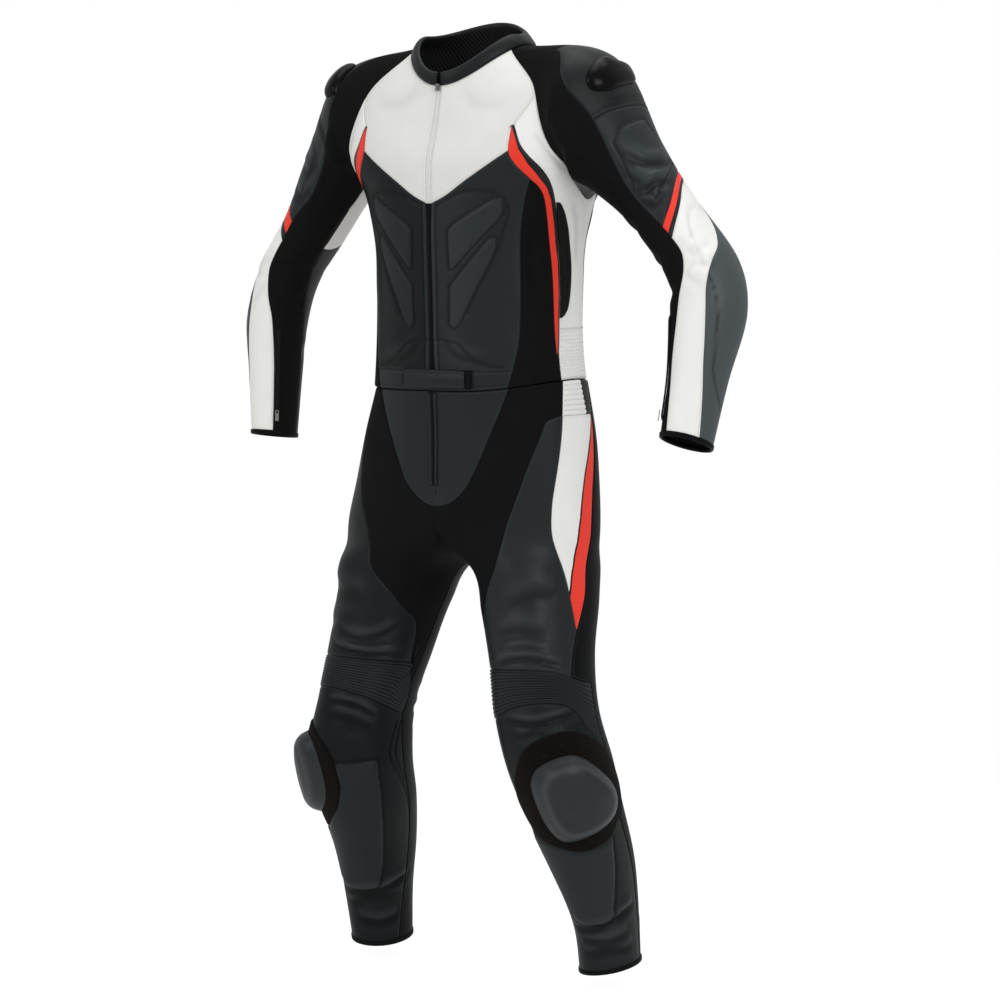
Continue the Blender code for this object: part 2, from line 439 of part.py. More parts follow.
SLEEVE = {
    "sleeve_stretch": (
        ((("front", 0, 4),), (("across", 0, 5),), (("under", 0, 4),), (("armhole", 0, 5),)),
        ((("front", 4, 17),), (("cuff_inner", 0, 5),), (("under", 4, 17),), (("across", 0, 5),)),
        ((("front", 0, 1),), (("cap_top", 0, 4),), (("rear", 0, 1),), (("neck", 0, 4),)),
    ),
    "shoulder_cap": (
        ((("front", 1, 4),), (("cap_foot", 0, 4),), (("rear", 1, 4),), (("cap_top", 0, 4),)),),
    "arm_pad": (
        ((("front", 4, 8),), (("band_top", 0, 4),), (("rear", 4, 8),), (("cap_foot", 0, 4),)),),
    "arm_stripe": (
        ((("front", 8, 9),), (("band_foot", 0, 4),), (("rear", 8, 9),), (("band_top", 0, 4),)),),
    "forearm_front": (
        ((("front", 9, 17),), (("cuff_front", 0, 4),), (("elbow", 0, 8),), (("band_foot", 0, 4),)),),
    "forearm_outer": (
        ((("elbow", 0, 8),), (("cuff_outer", 0, 3),), (("rear", 9, 17),), (("elbow", 0, 0),)),),
    "sleeve_back": (
        ((("under", 0, 4),), (("across_rear", 0, 6),), (("rear", 0, 4, 360),), (("armhole", 5, 11),)),
        ((("under", 4, 17),), (("cuff_rear", 0, 6),), (("rear", 4, 17, 360),), (("across_rear", 0, 6),)),
    ),
}
TROUSERS = {
    "leg_stretch": (
        ((("fly_edge", 0, 8), ("crotch_front", 0, 1), ("crotch", 0, 3), ("inner_back", 0, 3)),
         (("rib_top", 10, 6),),
         (("rib_side", 0, 1), ("thigh_top", 0, 4), ("thigh", 0, 10)),
         (("waist_stretch", 0, 4),)),),
    "thigh_outer": (
        ((("thigh", 0, 10),), (("rib_top", 6, 2),), (("stripe_front", 0, 9), ("below_stripe", 0, 1)),
         (("thigh_top", 4, 0),)),),
    "thigh_stripe": (
        ((("stripe_front", 0, 9),), (("stripe_front", 9, 9),), (("stripe_rear", 0, 9),),
         (("stripe_top", 0, 3),)),),
    "waist_rib": (
        ((("rib_side", 0, 1),), (("stripe_top", 0, 3),), (("rib_rear", 0, 1),), (("waist_rib", 0, 3),)),),
    "leg_back": (
        ((("rib_rear", 0, 1), ("stripe_rear", 0, 9)), (("thigh_back", 0, 7),),
         (("seat", 0, 6), ("crotch", 5, 3, -360), ("inner_back", 0, 2, -360)), (("waist_back", 0, 7),)),
        ((("below_stripe", 0, 1),), (("rib_top", 2, 0), ("knee_back", 0, 5)),
         (("inner_back", 2, 3, -360),), (("thigh_back", 0, 7),)),
        ((("rib_outer", 0, 2), ("shin_outer", 0, 6)), (("hem_back", 0, 5),),
         (("rib_inner", 0, 2, -360), ("shin_inner", 0, 6, -360)), (("knee_back", 0, 5),)),
    ),
    "knee_rib": (
        ((("rib_outer", 0, 2),), (("rib_foot", 0, 10),), (("rib_inner", 0, 2),), (("rib_top", 0, 10),)),),
    "shin": (
        ((("shin_outer", 0, 6),), (("hem_front", 0, 10),), (("shin_inner", 0, 6),),
         (("rib_foot", 0, 10),)),),
}
TROUSERS_WHOLE = {
    "fly": (
        ((("fly_edge", 0, 4),), (("fly_edge", 4, 8),), (("fly_middle", 0, 4),), (("waist_fly", 4, 0),)),),
}

# Pieces sewn or fixed on top: form, middle angle and level, half angle, half height, squareness of the
# outline (0 square, 1 oval), lift of the underside, thickness at the rim and in the middle, cells
ON_TOP = {
    "shoulder_cup": {1: ("arm", 9, 0.1120, 33, 0.021, .9, .0012, .0030, .0110, 8, 6),
                     -1: ("arm", 42, 0.0900, 25, 0.024, .9, .0012, .0030, .0100, 8, 6)},
    "knee_pad": {1: ("leg", 38, 0.319, 77, 0.085, 1.0, .0012, .0016, .0016, 10, 8),
                 -1: ("leg", 30, 0.308, 70, 0.080, 1.0, .0012, .0016, .0016, 10, 8)},
    "knee_slider": {1: ("leg", 38, 0.311, 53, 0.058, .7, .0044, .0070, .0210, 8, 8),
                    -1: ("leg", 34, 0.306, 50, 0.060, .7, .0044, .0070, .0230, 8, 8)},
    "cuff_zip": {1: ("arm", 139, 0.5350, 5.5, 0.080, .10, .0012, .0020, .0020, 2, 5),
                 -1: ("arm", 133, 0.5350, 5.5, 0.080, .10, .0012, .0020, .0020, 2, 5)},
    "waist_tab": {1: ("torso", 3, 0.9360, 26, 0.0115, .35, .0012, .0030, .0030, 12, 2)},
    "fly_zip": {1: ("hip", 0, 0.8450, 2.6, 0.0700, .10, .0020, .0020, .0020, 2, 5)},
}
POCKET = {
    "inner": ((74.5, 1.194), (78.0, 1.160), (80.7, 1.120), (81.5, 1.075), (81.1, 1.036)),
    "outer": ((77.6, 1.194), (84.8, 1.160), (88.9, 1.120), (88.6, 1.075), (83.8, 1.036)),
}


# ---------------------------------------------------------------- small tools
def hip(side, angle, level):
    """The front of the trousers by the same angles as the jacket."""
    row = table_row(HIPS[side], level)
    point = section_point(row[:4] + [0, 0] + row[4:], level, angle)
    point.x *= side
    return point


FORMS = {"torso": (torso, 1), "arm": (arm, 1), "leg": (leg, -1), "hip": (hip, 1)}


def outward(form, side, angle, level):
    """Unit vector straight out of the worn shape."""
    shape, sign = FORMS[form]
    along = shape(side, angle + 1, level) - shape(side, angle - 1, level)
    down = shape(side, angle, level + 0.002) - shape(side, angle, level - 0.002)
    return (along.cross(down) * (sign * side)).normalized()


def chain_points(seams, chain):
    points = []
    for seam, first, last, *turn in chain:
        step = 1 if last >= first else -1
        stretch = [seams[seam][index] for index in range(first, last + step, step)]
        if turn:
            stretch = [(angle + turn[0], level) for angle, level in stretch]
        points += stretch[1 if points else 0:]
    return [Vector(point) for point in points]


def patch_corner_net(seams, sides):
    """Angle and level of every corner of a patch, blended from its four sides."""
    first, foot, second, top = [chain_points(seams, side) for side in sides]
    if len(top) == 1:
        top = top * len(foot)
    if len(foot) == 1:
        foot = foot * len(top)
    columns, rows = len(top) - 1, len(first) - 1
    if len(foot) - 1 != columns or len(second) - 1 != rows:
        raise ValueError("sides do not match: %s" % (sides,))
    net = []
    for row in range(rows + 1):
        down = row / rows
        line = []
        for column in range(columns + 1):
            over = column / columns
            edges = first[row] * (1 - over) + second[row] * over
            ends = top[column] * (1 - down) + foot[column] * down
            corners = (top[0] * (1 - over) + top[-1] * over) * (1 - down)
            corners += (foot[0] * (1 - over) + foot[-1] * over) * down
            line.append(edges + ends - corners)
        net.append(line)
    for turn in range(RELAX_TURNS):
        for row in range(1, rows):
            for column in range(1, columns):
                net[row][column] = (net[row - 1][column] + net[row + 1][column]
                                    + net[row][column - 1] + net[row][column + 1]) / 4
    return net


def new_object(name, mesh_source, place=True):
    mesh = bpy.data.meshes.new(name)
    if place:
        bmesh.ops.translate(mesh_source, verts=mesh_source.verts, vec=(0, 0, -HELD_HEIGHT))
    mesh_source.to_mesh(mesh)
    mesh_source.free()
    item = bpy.data.objects.new(name, mesh)
    SUIT.objects.link(item)
    return item


def grid_faces(mesh, net, make_point):
    """A grid of faces over a net of angle and level corners."""
    rows, columns = len(net) - 1, len(net[0]) - 1
    made = bmesh.ops.create_grid(mesh, x_segments=columns, y_segments=rows, size=1.0)["verts"]
    for vert in made:
        column = round((vert.co.x + 1) * columns / 2)
        row = round((1 - vert.co.y) * rows / 2)
        vert.co = make_point(net[row][column])
    return list({face for vert in made for face in vert.link_faces})


def face_outwards(mesh, faces, form, side, net):
    """Turn a patch's faces so that they look out of the suit."""
    rows, columns = len(net), len(net[0])
    corner = net[rows // 2][columns // 2]
    away = outward(form, side, corner[0], corner[1])
    middle = FORMS[form][0](side, corner[0], corner[1])
    nearest = min(faces, key=lambda face: (face.calc_center_median() - middle).length)
    nearest.normal_update()
    if nearest.normal.dot(away) < 0:
        bmesh.ops.reverse_faces(mesh, faces=faces)


# ---------------------------------------------------------------- the sewn panels
def lay_out(skin, owner, names, form, side, seams, patches):
    """Add every patch of a group of panels to the skin of the suit."""
    shape = FORMS[form][0]
    for name, parts in patches.items():
        label = names(name)
        if label not in owner:
            owner.append(label)
        for sides in parts:
            net = patch_corner_net(seams, sides)
            faces = grid_faces(skin, net, lambda corner: shape(side, corner[0], corner[1]))
            face_outwards(skin, faces, form, side, net)
            for face in faces:
                face.material_index = owner.index(label)


def in_face_order(edge):
    """The two ends of a border edge in the order its one face runs through them."""
    start, end = edge.verts
    order = list(edge.link_faces[0].verts)
    if order[(order.index(start) + 1) % len(order)] is not end:
        start, end = end, start
    return start, end


def split_flattest(panel):
    """Split every four-sided face along the diagonal that leaves its halves most nearly in line."""
    for face in [face for face in panel.faces if len(face.verts) == 4]:
        best, choice = None, None
        for first in (0, 1):
            corners = [face.verts[(first + step) % 4] for step in range(4)]
            a, b, c, d = [corner.co for corner in corners]
            match = (b - a).cross(c - a).normalized().dot((c - a).cross(d - a).normalized())
            if best is None or match > best:
                best, choice = match, (corners[0], corners[2])
        bmesh.utils.face_split(face, *choice)


def cut_panel(skin, directions, index, name):
    """Lift one panel off the skin, stop it short of its seams and give it its thickness."""
    panel = bmesh.new()
    copies, heights = {}, {}
    for face in skin.faces:
        if face.material_index != index:
            continue
        corners = []
        for vert in face.verts:
            if vert not in copies:
                copies[vert] = panel.verts.new(vert.co)
                heights[copies[vert]] = directions[vert]
            corners.append(copies[vert])
        panel.faces.new(corners)
    panel.normal_update()
    shifts = {}
    for vert in panel.verts:
        edges = [edge for edge in vert.link_edges if edge.is_boundary]
        if not edges:
            continue
        away = heights[vert]
        inward = []
        for edge in edges:
            start, end = in_face_order(edge)
            inward.append(away.cross(end.co - start.co).normalized())
        total = sum(inward, Vector())
        if total.length > 0.05:
            total = total.normalized()
            shifts[vert] = total * min(SEAM / max(total.dot(inward[0]), 0.2), SEAM * 4)
    for vert, shift in shifts.items():
        vert.co += shift
    split_flattest(panel)
    rim = [edge for edge in panel.edges if edge.is_boundary]
    outer = list(panel.verts)
    lower = {vert: panel.verts.new(vert.co - heights[vert] * CLOTH) for vert in outer}
    for face in list(panel.faces):
        panel.faces.new([lower[vert] for vert in reversed(face.verts)])
    for edge in rim:
        start, end = in_face_order(edge)
        panel.faces.new((end, start, lower[start], lower[end]))
    bmesh.ops.triangulate(panel, faces=panel.faces)
    return new_object(name, panel)


def sew_suit():
    skin = bmesh.new()
    owner = []
    for side, word in ((1, "left"), (-1, "right")):
        paired = lambda name: "%s_%s" % (name, word)
        whole = lambda name: name
        legs = LEG_SEAMS if side == 1 else RIGHT_LEG_SEAMS
        sleeves = SLEEVE_SEAMS if side == 1 else RIGHT_SLEEVE_SEAMS
        lay_out(skin, owner, paired, "torso", side, SEAMS, JACKET)
        lay_out(skin, owner, whole, "torso", side, SEAMS, JACKET_WHOLE)
        lay_out(skin, owner, paired, "arm", side, sleeves, SLEEVE)
        lay_out(skin, owner, paired, "leg", side, legs, TROUSERS)
        lay_out(skin, owner, whole, "leg", side, legs, TROUSERS_WHOLE)
    lay_out(skin, owner, lambda name: name, "torso", 1, SEAMS, JACKET_MIDDLE)
    bmesh.ops.remove_doubles(skin, verts=skin.verts, dist=0.00005)
    skin.normal_update()
    directions = {vert: vert.normal.copy() for vert in skin.verts}
    made = {name: cut_panel(skin, directions, index, name) for index, name in enumerate(owner)}
    skin.free()
    return made


# ---------------------------------------------------------------- pieces laid on the panels
def shell_over(name, net, form, side, low, high):
    """A closed shell over a net of corners; low and high give the lift of its two faces."""
    shape = FORMS[form][0]
    mesh = bmesh.new()
    rows, columns = len(net) - 1, len(net[0]) - 1
    layers = []
    for lift in (low, high):
        layer = []
        for row in range(rows + 1):
            line = []
            for column in range(columns + 1):
                angle, level = net[row][column]
                away = outward(form, side, angle, level)
                height = lift(2 * column / columns - 1, 2 * row / rows - 1)
                line.append(mesh.verts.new(shape(side, angle, level) + away * height))
            layer.append(line)
        layers.append(layer)
    for row in range(rows):
        for column in range(columns):
            for layer, turned in ((layers[0], True), (layers[1], False)):
                corners = [layer[row][column], layer[row + 1][column], layer[row + 1][column + 1],
                           layer[row][column + 1]]
                mesh.faces.new(corners[::-1] if turned else corners)
    border = [(0, column) for column in range(columns)] + [(row, columns) for row in range(rows)]
    border += [(rows, column) for column in range(columns, 0, -1)] + [(row, 0) for row in range(rows, 0, -1)]
    for index, spot in enumerate(border):
        after = border[(index + 1) % len(border)]
        mesh.faces.new((layers[1][spot[0]][spot[1]], layers[1][after[0]][after[1]],
                        layers[0][after[0]][after[1]], layers[0][spot[0]][spot[1]]))
    bmesh.ops.recalc_face_normals(mesh, faces=mesh.faces)
    bmesh.ops.triangulate(mesh, faces=mesh.faces)
    return new_object(name, mesh)


def rounded_net(angle, level, half_angle, half_level, rounding, columns, rows):
    """Corners of a rounded outline filled with a grid."""
    net = []
    for row in range(rows + 1):
        line = []
        for column in range(columns + 1):
            over, down = 2 * column / columns - 1, 1 - 2 * row / rows
            wide = over * math.sqrt(1 - rounding * down * down / 2)
            tall = down * math.sqrt(1 - rounding * over * over / 2)
            line.append((angle + half_angle * wide, level + half_level * tall))
        net.append(line)
    return net


def lay_on(name, side, sizes):
    form, angle, level, half_angle, half_level, rounding, low, rim, middle, columns, rows = sizes
    net = rounded_net(angle, level, half_angle, half_level, rounding, columns, rows)

    def high(over, down):
        edge = max(abs(over), abs(down)) ** 4
        return low + rim + (middle - rim) * (1 - edge)

    return shell_over(name, net, form, side, lambda over, down: low, high)


def lay_pocket(name, side):
    net = []
    for inner, outer in zip(POCKET["inner"], POCKET["outer"]):
        middle = ((inner[0] + outer[0]) / 2, (inner[1] + outer[1]) / 2)
        net.append([inner, middle, outer])
    return shell_over(name, net, "torso", side, lambda over, down: 0.0012,
                      lambda over, down: 0.0042 - 0.0015 * abs(over))


def make_collar():
    """A standing collar open at the front by the width of its zip."""
    mesh = bmesh.new()
    columns, rows = 28, 2
    opening = 3.0
    grid = []
    for row in range(rows + 1):
        share = 0.09 + 0.91 * row / rows
        line = []
        for column in range(columns + 1):
            angle = opening + (360 - 2 * opening) * column / columns
            point = collar(1, angle, share)
            aside = collar(1, angle + 1, share) - collar(1, angle - 1, share)
            upward = collar(1, angle, share + 0.05) - collar(1, angle, share - 0.05)
            away = aside.cross(upward).normalized()
            line.append((mesh.verts.new(point), mesh.verts.new(point - away * 0.0025)))
        grid.append(line)
    for row in range(rows):
        for column in range(columns):
            cell = [grid[row][column], grid[row][column + 1], grid[row + 1][column + 1], grid[row + 1][column]]
            mesh.faces.new([corner[0] for corner in cell])
            mesh.faces.new([corner[1] for corner in reversed(cell)])
    for row, step in ((0, 1), (rows, -1)):
        for column in range(columns):
            pair = grid[row][column], grid[row][column + 1]
            loop = (pair[0][0], pair[0][1], pair[1][1], pair[1][0])
            mesh.faces.new(loop if step == 1 else loop[::-1])
    for column, step in ((0, -1), (columns, 1)):
        for row in range(rows):
            pair = grid[row][column], grid[row + 1][column]
            loop = (pair[0][0], pair[0][1], pair[1][1], pair[1][0])
            mesh.faces.new(loop if step == 1 else loop[::-1])
    bmesh.ops.recalc_face_normals(mesh, faces=mesh.faces)
    bmesh.ops.triangulate(mesh, faces=mesh.faces)
    return new_object("collar", mesh)


# ---------------------------------------------------------------- zip hardware
SLIDER = {"wide": 0.0070, "long": 0.0100, "high": 0.0026, "arch_wide": 0.0016, "arch_long": 0.0056,
          "arch_high": 0.0036, "bar": 0.0010}
PULL = {"wide": 0.0056, "long": 0.0170, "thick": 0.0012, "hole_wide": 0.0030, "hole_long": 0.0036,
        "rim": 0.0013}


def block(mesh, middle, size):
    made = bmesh.ops.create_cube(mesh, size=1.0)["verts"]
    bmesh.ops.scale(mesh, vec=size, verts=made)
    bmesh.ops.translate(mesh, vec=middle, verts=made)
    return made


def frame_at(form, side, angle, level, lift, down_step):
    """Place hardware: X across the zip, Y down along it, Z out of the cloth."""
    shape = FORMS[form][0]
    away = outward(form, side, angle, level)
    down = shape(side, angle, level + down_step) - shape(side, angle, level)
    down = (down - away * down.dot(away)).normalized()
    across = down.cross(away)
    origin = shape(side, angle, level) + away * lift
    return Matrix(((across.x, down.x, away.x, origin.x), (across.y, down.y, away.y, origin.y),
                   (across.z, down.z, away.z, origin.z), (0, 0, 0, 1)))


def join_on(host, tool):
    """Weld a helper solid onto a piece."""
    tool.hide_render = True
    tool.display_type = "WIRE"
    join = host.modifiers.new("join", "BOOLEAN")
    join.operation = "UNION"
    join.solver = "EXACT"
    join.object = tool


def arch_mesh():
    """A small arch over a window for the pull's end bar."""
    sizes = SLIDER
    foot, top = sizes["high"] - 0.0005, sizes["high"] + sizes["arch_high"]
    half, bar = sizes["arch_long"] / 2, sizes["bar"]
    loop = ((-half, foot), (-half, top), (half, top), (half, foot), (half - bar, foot),
            (half - bar, top - bar), (-half + bar, top - bar), (-half + bar, foot))
    arch = bmesh.new()
    sheets = []
    for edge in (-sizes["arch_wide"] / 2, sizes["arch_wide"] / 2):
        sheets.append([arch.verts.new((edge, along, up)) for along, up in loop])
    for index in range(len(loop)):
        after = (index + 1) % len(loop)
        arch.faces.new((sheets[0][index], sheets[0][after], sheets[1][after], sheets[1][index]))
    for sheet in sheets:
        for corners in ((0, 1, 6, 7), (1, 2, 5, 6), (2, 3, 4, 5)):
            arch.faces.new([sheet[corner] for corner in corners])
    bmesh.ops.recalc_face_normals(arch, faces=arch.faces)
    return arch


def make_slider(name, place, host=None):
    """A zip slider with its arch, on its own or welded onto a zip tape."""
    sizes = SLIDER
    place = place.copy()
    place.translation.z -= HELD_HEIGHT
    mesh = bmesh.new()
    block(mesh, (0, 0, sizes["high"] / 2), (sizes["wide"], sizes["long"], sizes["high"]))
    body = new_object(name if host is None else name + "_body", mesh, place=False)
    arch = new_object(name + "_arch", arch_mesh(), place=False)
    body.matrix_world = place
    arch.matrix_world = place
    if host is None:
        join_on(body, arch)
    else:
        join_on(host, body)
        join_on(host, arch)


def make_pull(name, place):
    """A flat pull tab whose end bar lies under the slider's arch."""
    sizes = PULL
    mesh = bmesh.new()
    half, hole = sizes["wide"] / 2, sizes["hole_wide"] / 2
    rim, window, end = sizes["rim"], sizes["rim"] + sizes["hole_long"], sizes["long"]
    stops_across = (-half, -hole, hole, half)
    stops_down = (0, rim, window, end)
    layers = []
    for up in (-sizes["thick"] / 2, sizes["thick"] / 2):
        layers.append([[mesh.verts.new((across, down - rim / 2, up)) for across in stops_across]
                       for down in stops_down])
    for row in range(3):
        for column in range(3):
            if row == 1 and column == 1:
                continue
            for layer in layers:
                mesh.faces.new((layer[row][column], layer[row][column + 1], layer[row + 1][column + 1],
                                layer[row + 1][column]))
    for layer_edge in [edge for edge in mesh.edges if edge.is_boundary and edge.verts[0].co.z < 0]:
        start, end_vert = layer_edge.verts
        above = []
        for vert in (end_vert, start):
            above.append(min((other for line in layers[1] for other in line),
                             key=lambda other: (other.co.xy - vert.co.xy).length))
        mesh.faces.new((start, end_vert, above[0], above[1]))
    bmesh.ops.recalc_face_normals(mesh, faces=mesh.faces)
    item = new_object(name, mesh, place=False)
    place.translation.z -= HELD_HEIGHT
    item.matrix_world = place


def pull_hang(place):
    """How far a free pull swings out from the cloth under its own weight."""
    down, away = -place[2][1], -place[2][2]
    return max(0.0, math.atan2(away, down))


def hardware(zips):
    """The collar zip's slider, and a slider and pull on each cuff zip."""
    make_slider("zip_slider", frame_at("torso", 1, 0, 1.3815, 0.0015, -0.004))
    window = SLIDER["high"] + (SLIDER["arch_high"] - SLIDER["bar"]) / 2
    for side, word in ((1, "left"), (-1, "right")):
        place = frame_at("arm", side, ON_TOP["cuff_zip"][side][1], 0.598, 0.0022, 0.004)
        make_slider("cuff_slider_" + word, place, zips[side])
        hinge = place @ Matrix.Translation((0, 0, window))
        turn = Matrix.Rotation(pull_hang(place), 4, "X")
        make_pull("cuff_pull_" + word, hinge @ turn)


# ---------------------------------------------------------------- colours
COLOURS = {
    "leather_white": ((0.80, 0.80, 0.77, 1), 0.42, 0.0),
    "leather_charcoal": ((0.055, 0.065, 0.070, 1), 0.45, 0.0),
    "leather_black": ((0.020, 0.020, 0.021, 1), 0.42, 0.0),
    "stretch_black": ((0.014, 0.014, 0.014, 1), 0.85, 0.0),
    "leather_red": ((0.90, 0.075, 0.030, 1), 0.45, 0.0),
    "loop_brown": ((0.016, 0.013, 0.011, 1), 0.95, 0.0),
    "slider_plastic": ((0.060, 0.068, 0.072, 1), 0.38, 0.0),
    "zip_metal": ((0.35, 0.35, 0.36, 1), 0.35, 1.0),
}
WEARS = {
    "chest": "leather_white", "belly": "leather_charcoal", "stretch_side": "stretch_black",
    "chest_stripe": "leather_red", "side_panel": "leather_white", "back_upper": "leather_charcoal",
    "back_lower": "leather_black", "hem_band": "leather_charcoal", "front_zip": "stretch_black",
    "sleeve_stretch": "stretch_black", "shoulder_cap": "leather_charcoal", "arm_pad": "leather_charcoal",
    "arm_stripe": "leather_red", "forearm_front": "leather_white", "forearm_outer": "leather_charcoal",
    "sleeve_back": "leather_black", "leg_stretch": "stretch_black", "thigh_outer": "leather_charcoal",
    "thigh_stripe": "leather_red", "waist_rib": "leather_white", "leg_back": "leather_black",
    "knee_rib": "leather_charcoal", "shin": "leather_charcoal", "fly": "leather_charcoal",
    "collar": "leather_black", "shoulder_cup": "slider_plastic", "knee_pad": "loop_brown",
    "knee_slider": "slider_plastic", "waist_tab": "leather_charcoal", "fly_zip": "stretch_black",
    "cuff_zip": "stretch_black", "pocket": "stretch_black", "zip_slider": "zip_metal",
    "cuff_slider": "zip_metal", "cuff_pull": "zip_metal",
}


def colour_all():
    made = {}
    for name, (tint, rough, metal) in COLOURS.items():
        material = bpy.data.materials.new(name)
        material.use_nodes = True
        shader = material.node_tree.nodes["Principled BSDF"]
        shader.inputs["Base Color"].default_value = tint
        shader.inputs["Roughness"].default_value = rough
        shader.inputs["Metallic"].default_value = metal
        made[name] = material
    for item in SUIT.objects:
        key = item.name
        for word in ("_left", "_right", "_arch", "_body"):
            key = key.replace(word, "")
        item.data.materials.clear()
        item.data.materials.append(made[WEARS[key]])
        for face in item.data.polygons:
            face.material_index = 0


# ---------------------------------------------------------------- build
for stale in list(bpy.data.objects):
    bpy.data.objects.remove(stale, do_unlink=True)
SUIT = bpy.data.collections.new("two_piece_riding_suit")
bpy.context.scene.collection.children.link(SUIT)

sew_suit()
make_collar()
zips = {}
for piece, both in ON_TOP.items():
    for hand, sizes in both.items():
        word = ("_left" if hand == 1 else "_right") if len(both) == 2 else ""
        zips[piece + word] = lay_on(piece + word, hand, sizes)
for hand, word in ((1, "left"), (-1, "right")):
    lay_pocket("pocket_" + word, hand)
hardware({1: zips["cuff_zip_left"], -1: zips["cuff_zip_right"]})
colour_all()
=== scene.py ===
import math

import bmesh
import bpy
import numpy as np
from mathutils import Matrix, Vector


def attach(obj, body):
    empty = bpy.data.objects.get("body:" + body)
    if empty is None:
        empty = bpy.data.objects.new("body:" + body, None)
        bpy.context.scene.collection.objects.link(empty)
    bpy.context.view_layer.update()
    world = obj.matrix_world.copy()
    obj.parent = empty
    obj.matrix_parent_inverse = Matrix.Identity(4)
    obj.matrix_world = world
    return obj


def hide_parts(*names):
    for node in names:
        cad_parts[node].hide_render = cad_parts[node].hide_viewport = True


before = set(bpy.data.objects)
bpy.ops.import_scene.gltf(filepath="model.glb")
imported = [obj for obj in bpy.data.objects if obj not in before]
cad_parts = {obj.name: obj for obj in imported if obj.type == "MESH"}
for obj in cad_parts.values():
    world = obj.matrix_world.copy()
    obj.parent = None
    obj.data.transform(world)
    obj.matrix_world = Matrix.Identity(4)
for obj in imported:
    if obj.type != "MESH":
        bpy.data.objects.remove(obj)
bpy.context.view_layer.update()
print("frame loaded:", len(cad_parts), "solids")

# the worn figure, in metres; heights are above the base line of the trouser hems
figure = {
    "held": 1.4,           # height of the point the suit is held by
    "neck": 1.385,
    "jacketHem": 0.921,
    "trouserTop": 0.9195,
    "legHem": 0.032,
    "cuff": 0.64,          # length of sleeve from armhole to cuff
    "armpitEase": 0.022,
    "crotchAngle": 140,    # leg angle of the centre front
    "crotchDip": 0.022,
    "hemRise": {1: 0.018, -1: 0.0},     # how much the waist rides up at the side
    "hemRiseTop": 1.0,     # height at which nothing of that is left
    "hemRiseOver": 0.079,
    "hipLevels": (0.92, 0.86, 0.78, 0.7),
}


def ringTable(columns, *rows):
    # columns marked m are given in millimetres and kept in metres
    return np.array(rows) / [1000 if kind == "m" else 1 for kind in columns]


# level, half width, front depth, back depth, middle, side rise, back rise, squareness
torsoRings = ringTable(
    "mmmmmmm.",
    (880, 181, 130, 112, 0, 0, 0, 2.3),
    (935, 175, 130, 106, 0, 0, 0, 2.3),
    (1000, 170, 132, 104, 0, 0, 0, 2.3),
    (1080, 168, 135, 112, 0, 0, 0, 2.3),
    (1150, 171, 138, 120, 0, 0, 5, 2.3),
    (1210, 188, 139, 130, 0, 8, 15, 2.4),
    (1270, 220, 136, 128, -3, 28, 30, 2.6),
    (1325, 200, 118, 112, -6, 52, 45, 2.4),
    (1385, 100, 94, 80, -18, 62, 60, 2))
collarRim = np.array((1.403, 0.084, 0.087, 0.078, -0.026, 0.06, 0.08, 2.0))

# where the sleeve joins the body: sleeve angle, torso angle, level
armholePath = np.array((
    (-25, 110, 1.385), (0, 90, 1.385), (25, 70, 1.385), (45, 65.5, 1.342), (53, 63.9, 1.327),
    (90, 65.5, 1.27), (118, 75, 1.243), (150, 88, 1.216), (180, 97, 1.205), (212, 106, 1.216),
    (250, 118, 1.25), (285, 126, 1.296), (312, 124, 1.34), (335, 110, 1.385), (360, 90, 1.385),
    (385, 70, 1.385),
))

# distance along, x, y, z, lean, forward pitch, outer, front and back reach, squareness; side 1 is the
# wearer's left
sleeveRings = {
    1: ringTable(
        "mmmm..mmm.",
        (90, 206, -6, 1331, 76, 0, 103, 100, 94, 2.3),
        (180, 272, 2, 1260, 45, 0, 59, 72, 70, 2.2),
        (270, 328, 6, 1199, 36, 4, 48, 62, 62, 2.1),
        (360, 403, 8, 1108, 28, 10, 51, 60, 62, 2.1),
        (440, 418, 0, 1050, 8, 16, 57, 56, 58, 2.1),
        (530, 416, -24, 952, 0, 18, 43.5, 47, 49, 2.1),
        (640, 412.5, -52, 852, -4, 20, 39.5, 41, 43, 2)),
    -1: ringTable(
        "mmmm..mmm.",
        (90, 211, -6, 1332, 76, 0, 85, 100, 94, 2.3),
        (180, 273, 0, 1254, 42, 0, 56.5, 69, 67, 2.2),
        (270, 321, -10, 1165, 30, 4, 46, 57, 58, 2.1),
        (360, 365, -20, 1092, 22, 6, 44.5, 53, 55, 2.1),
        (440, 386, -26, 1018, 8, 6, 47.5, 48, 50, 2.1),
        (530, 385.5, -32, 933, 2, 6, 40.5, 43, 46, 2.1),
        (640, 380, -42, 835, 0, 8, 35, 38, 40, 2)),
}

# level, half width, front depth, back depth, middle, squareness
hipRings = {
    1: ringTable(
        "mmmmm.",
        (700, 197, 120, 130, 0, 2.3),
        (780, 196, 121, 128, 0, 2.3),
        (860, 192, 122, 116, 0, 2.3),
        (920, 180, 126, 104, 0, 2.3)),
    -1: ringTable(
        "mmmmm.",
        (700, 239, 120, 130, 0, 2.3),
        (780, 218, 121, 128, 0, 2.3),
        (860, 196, 122, 116, 0, 2.3),
        (920, 174, 126, 104, 0, 2.3)),
}

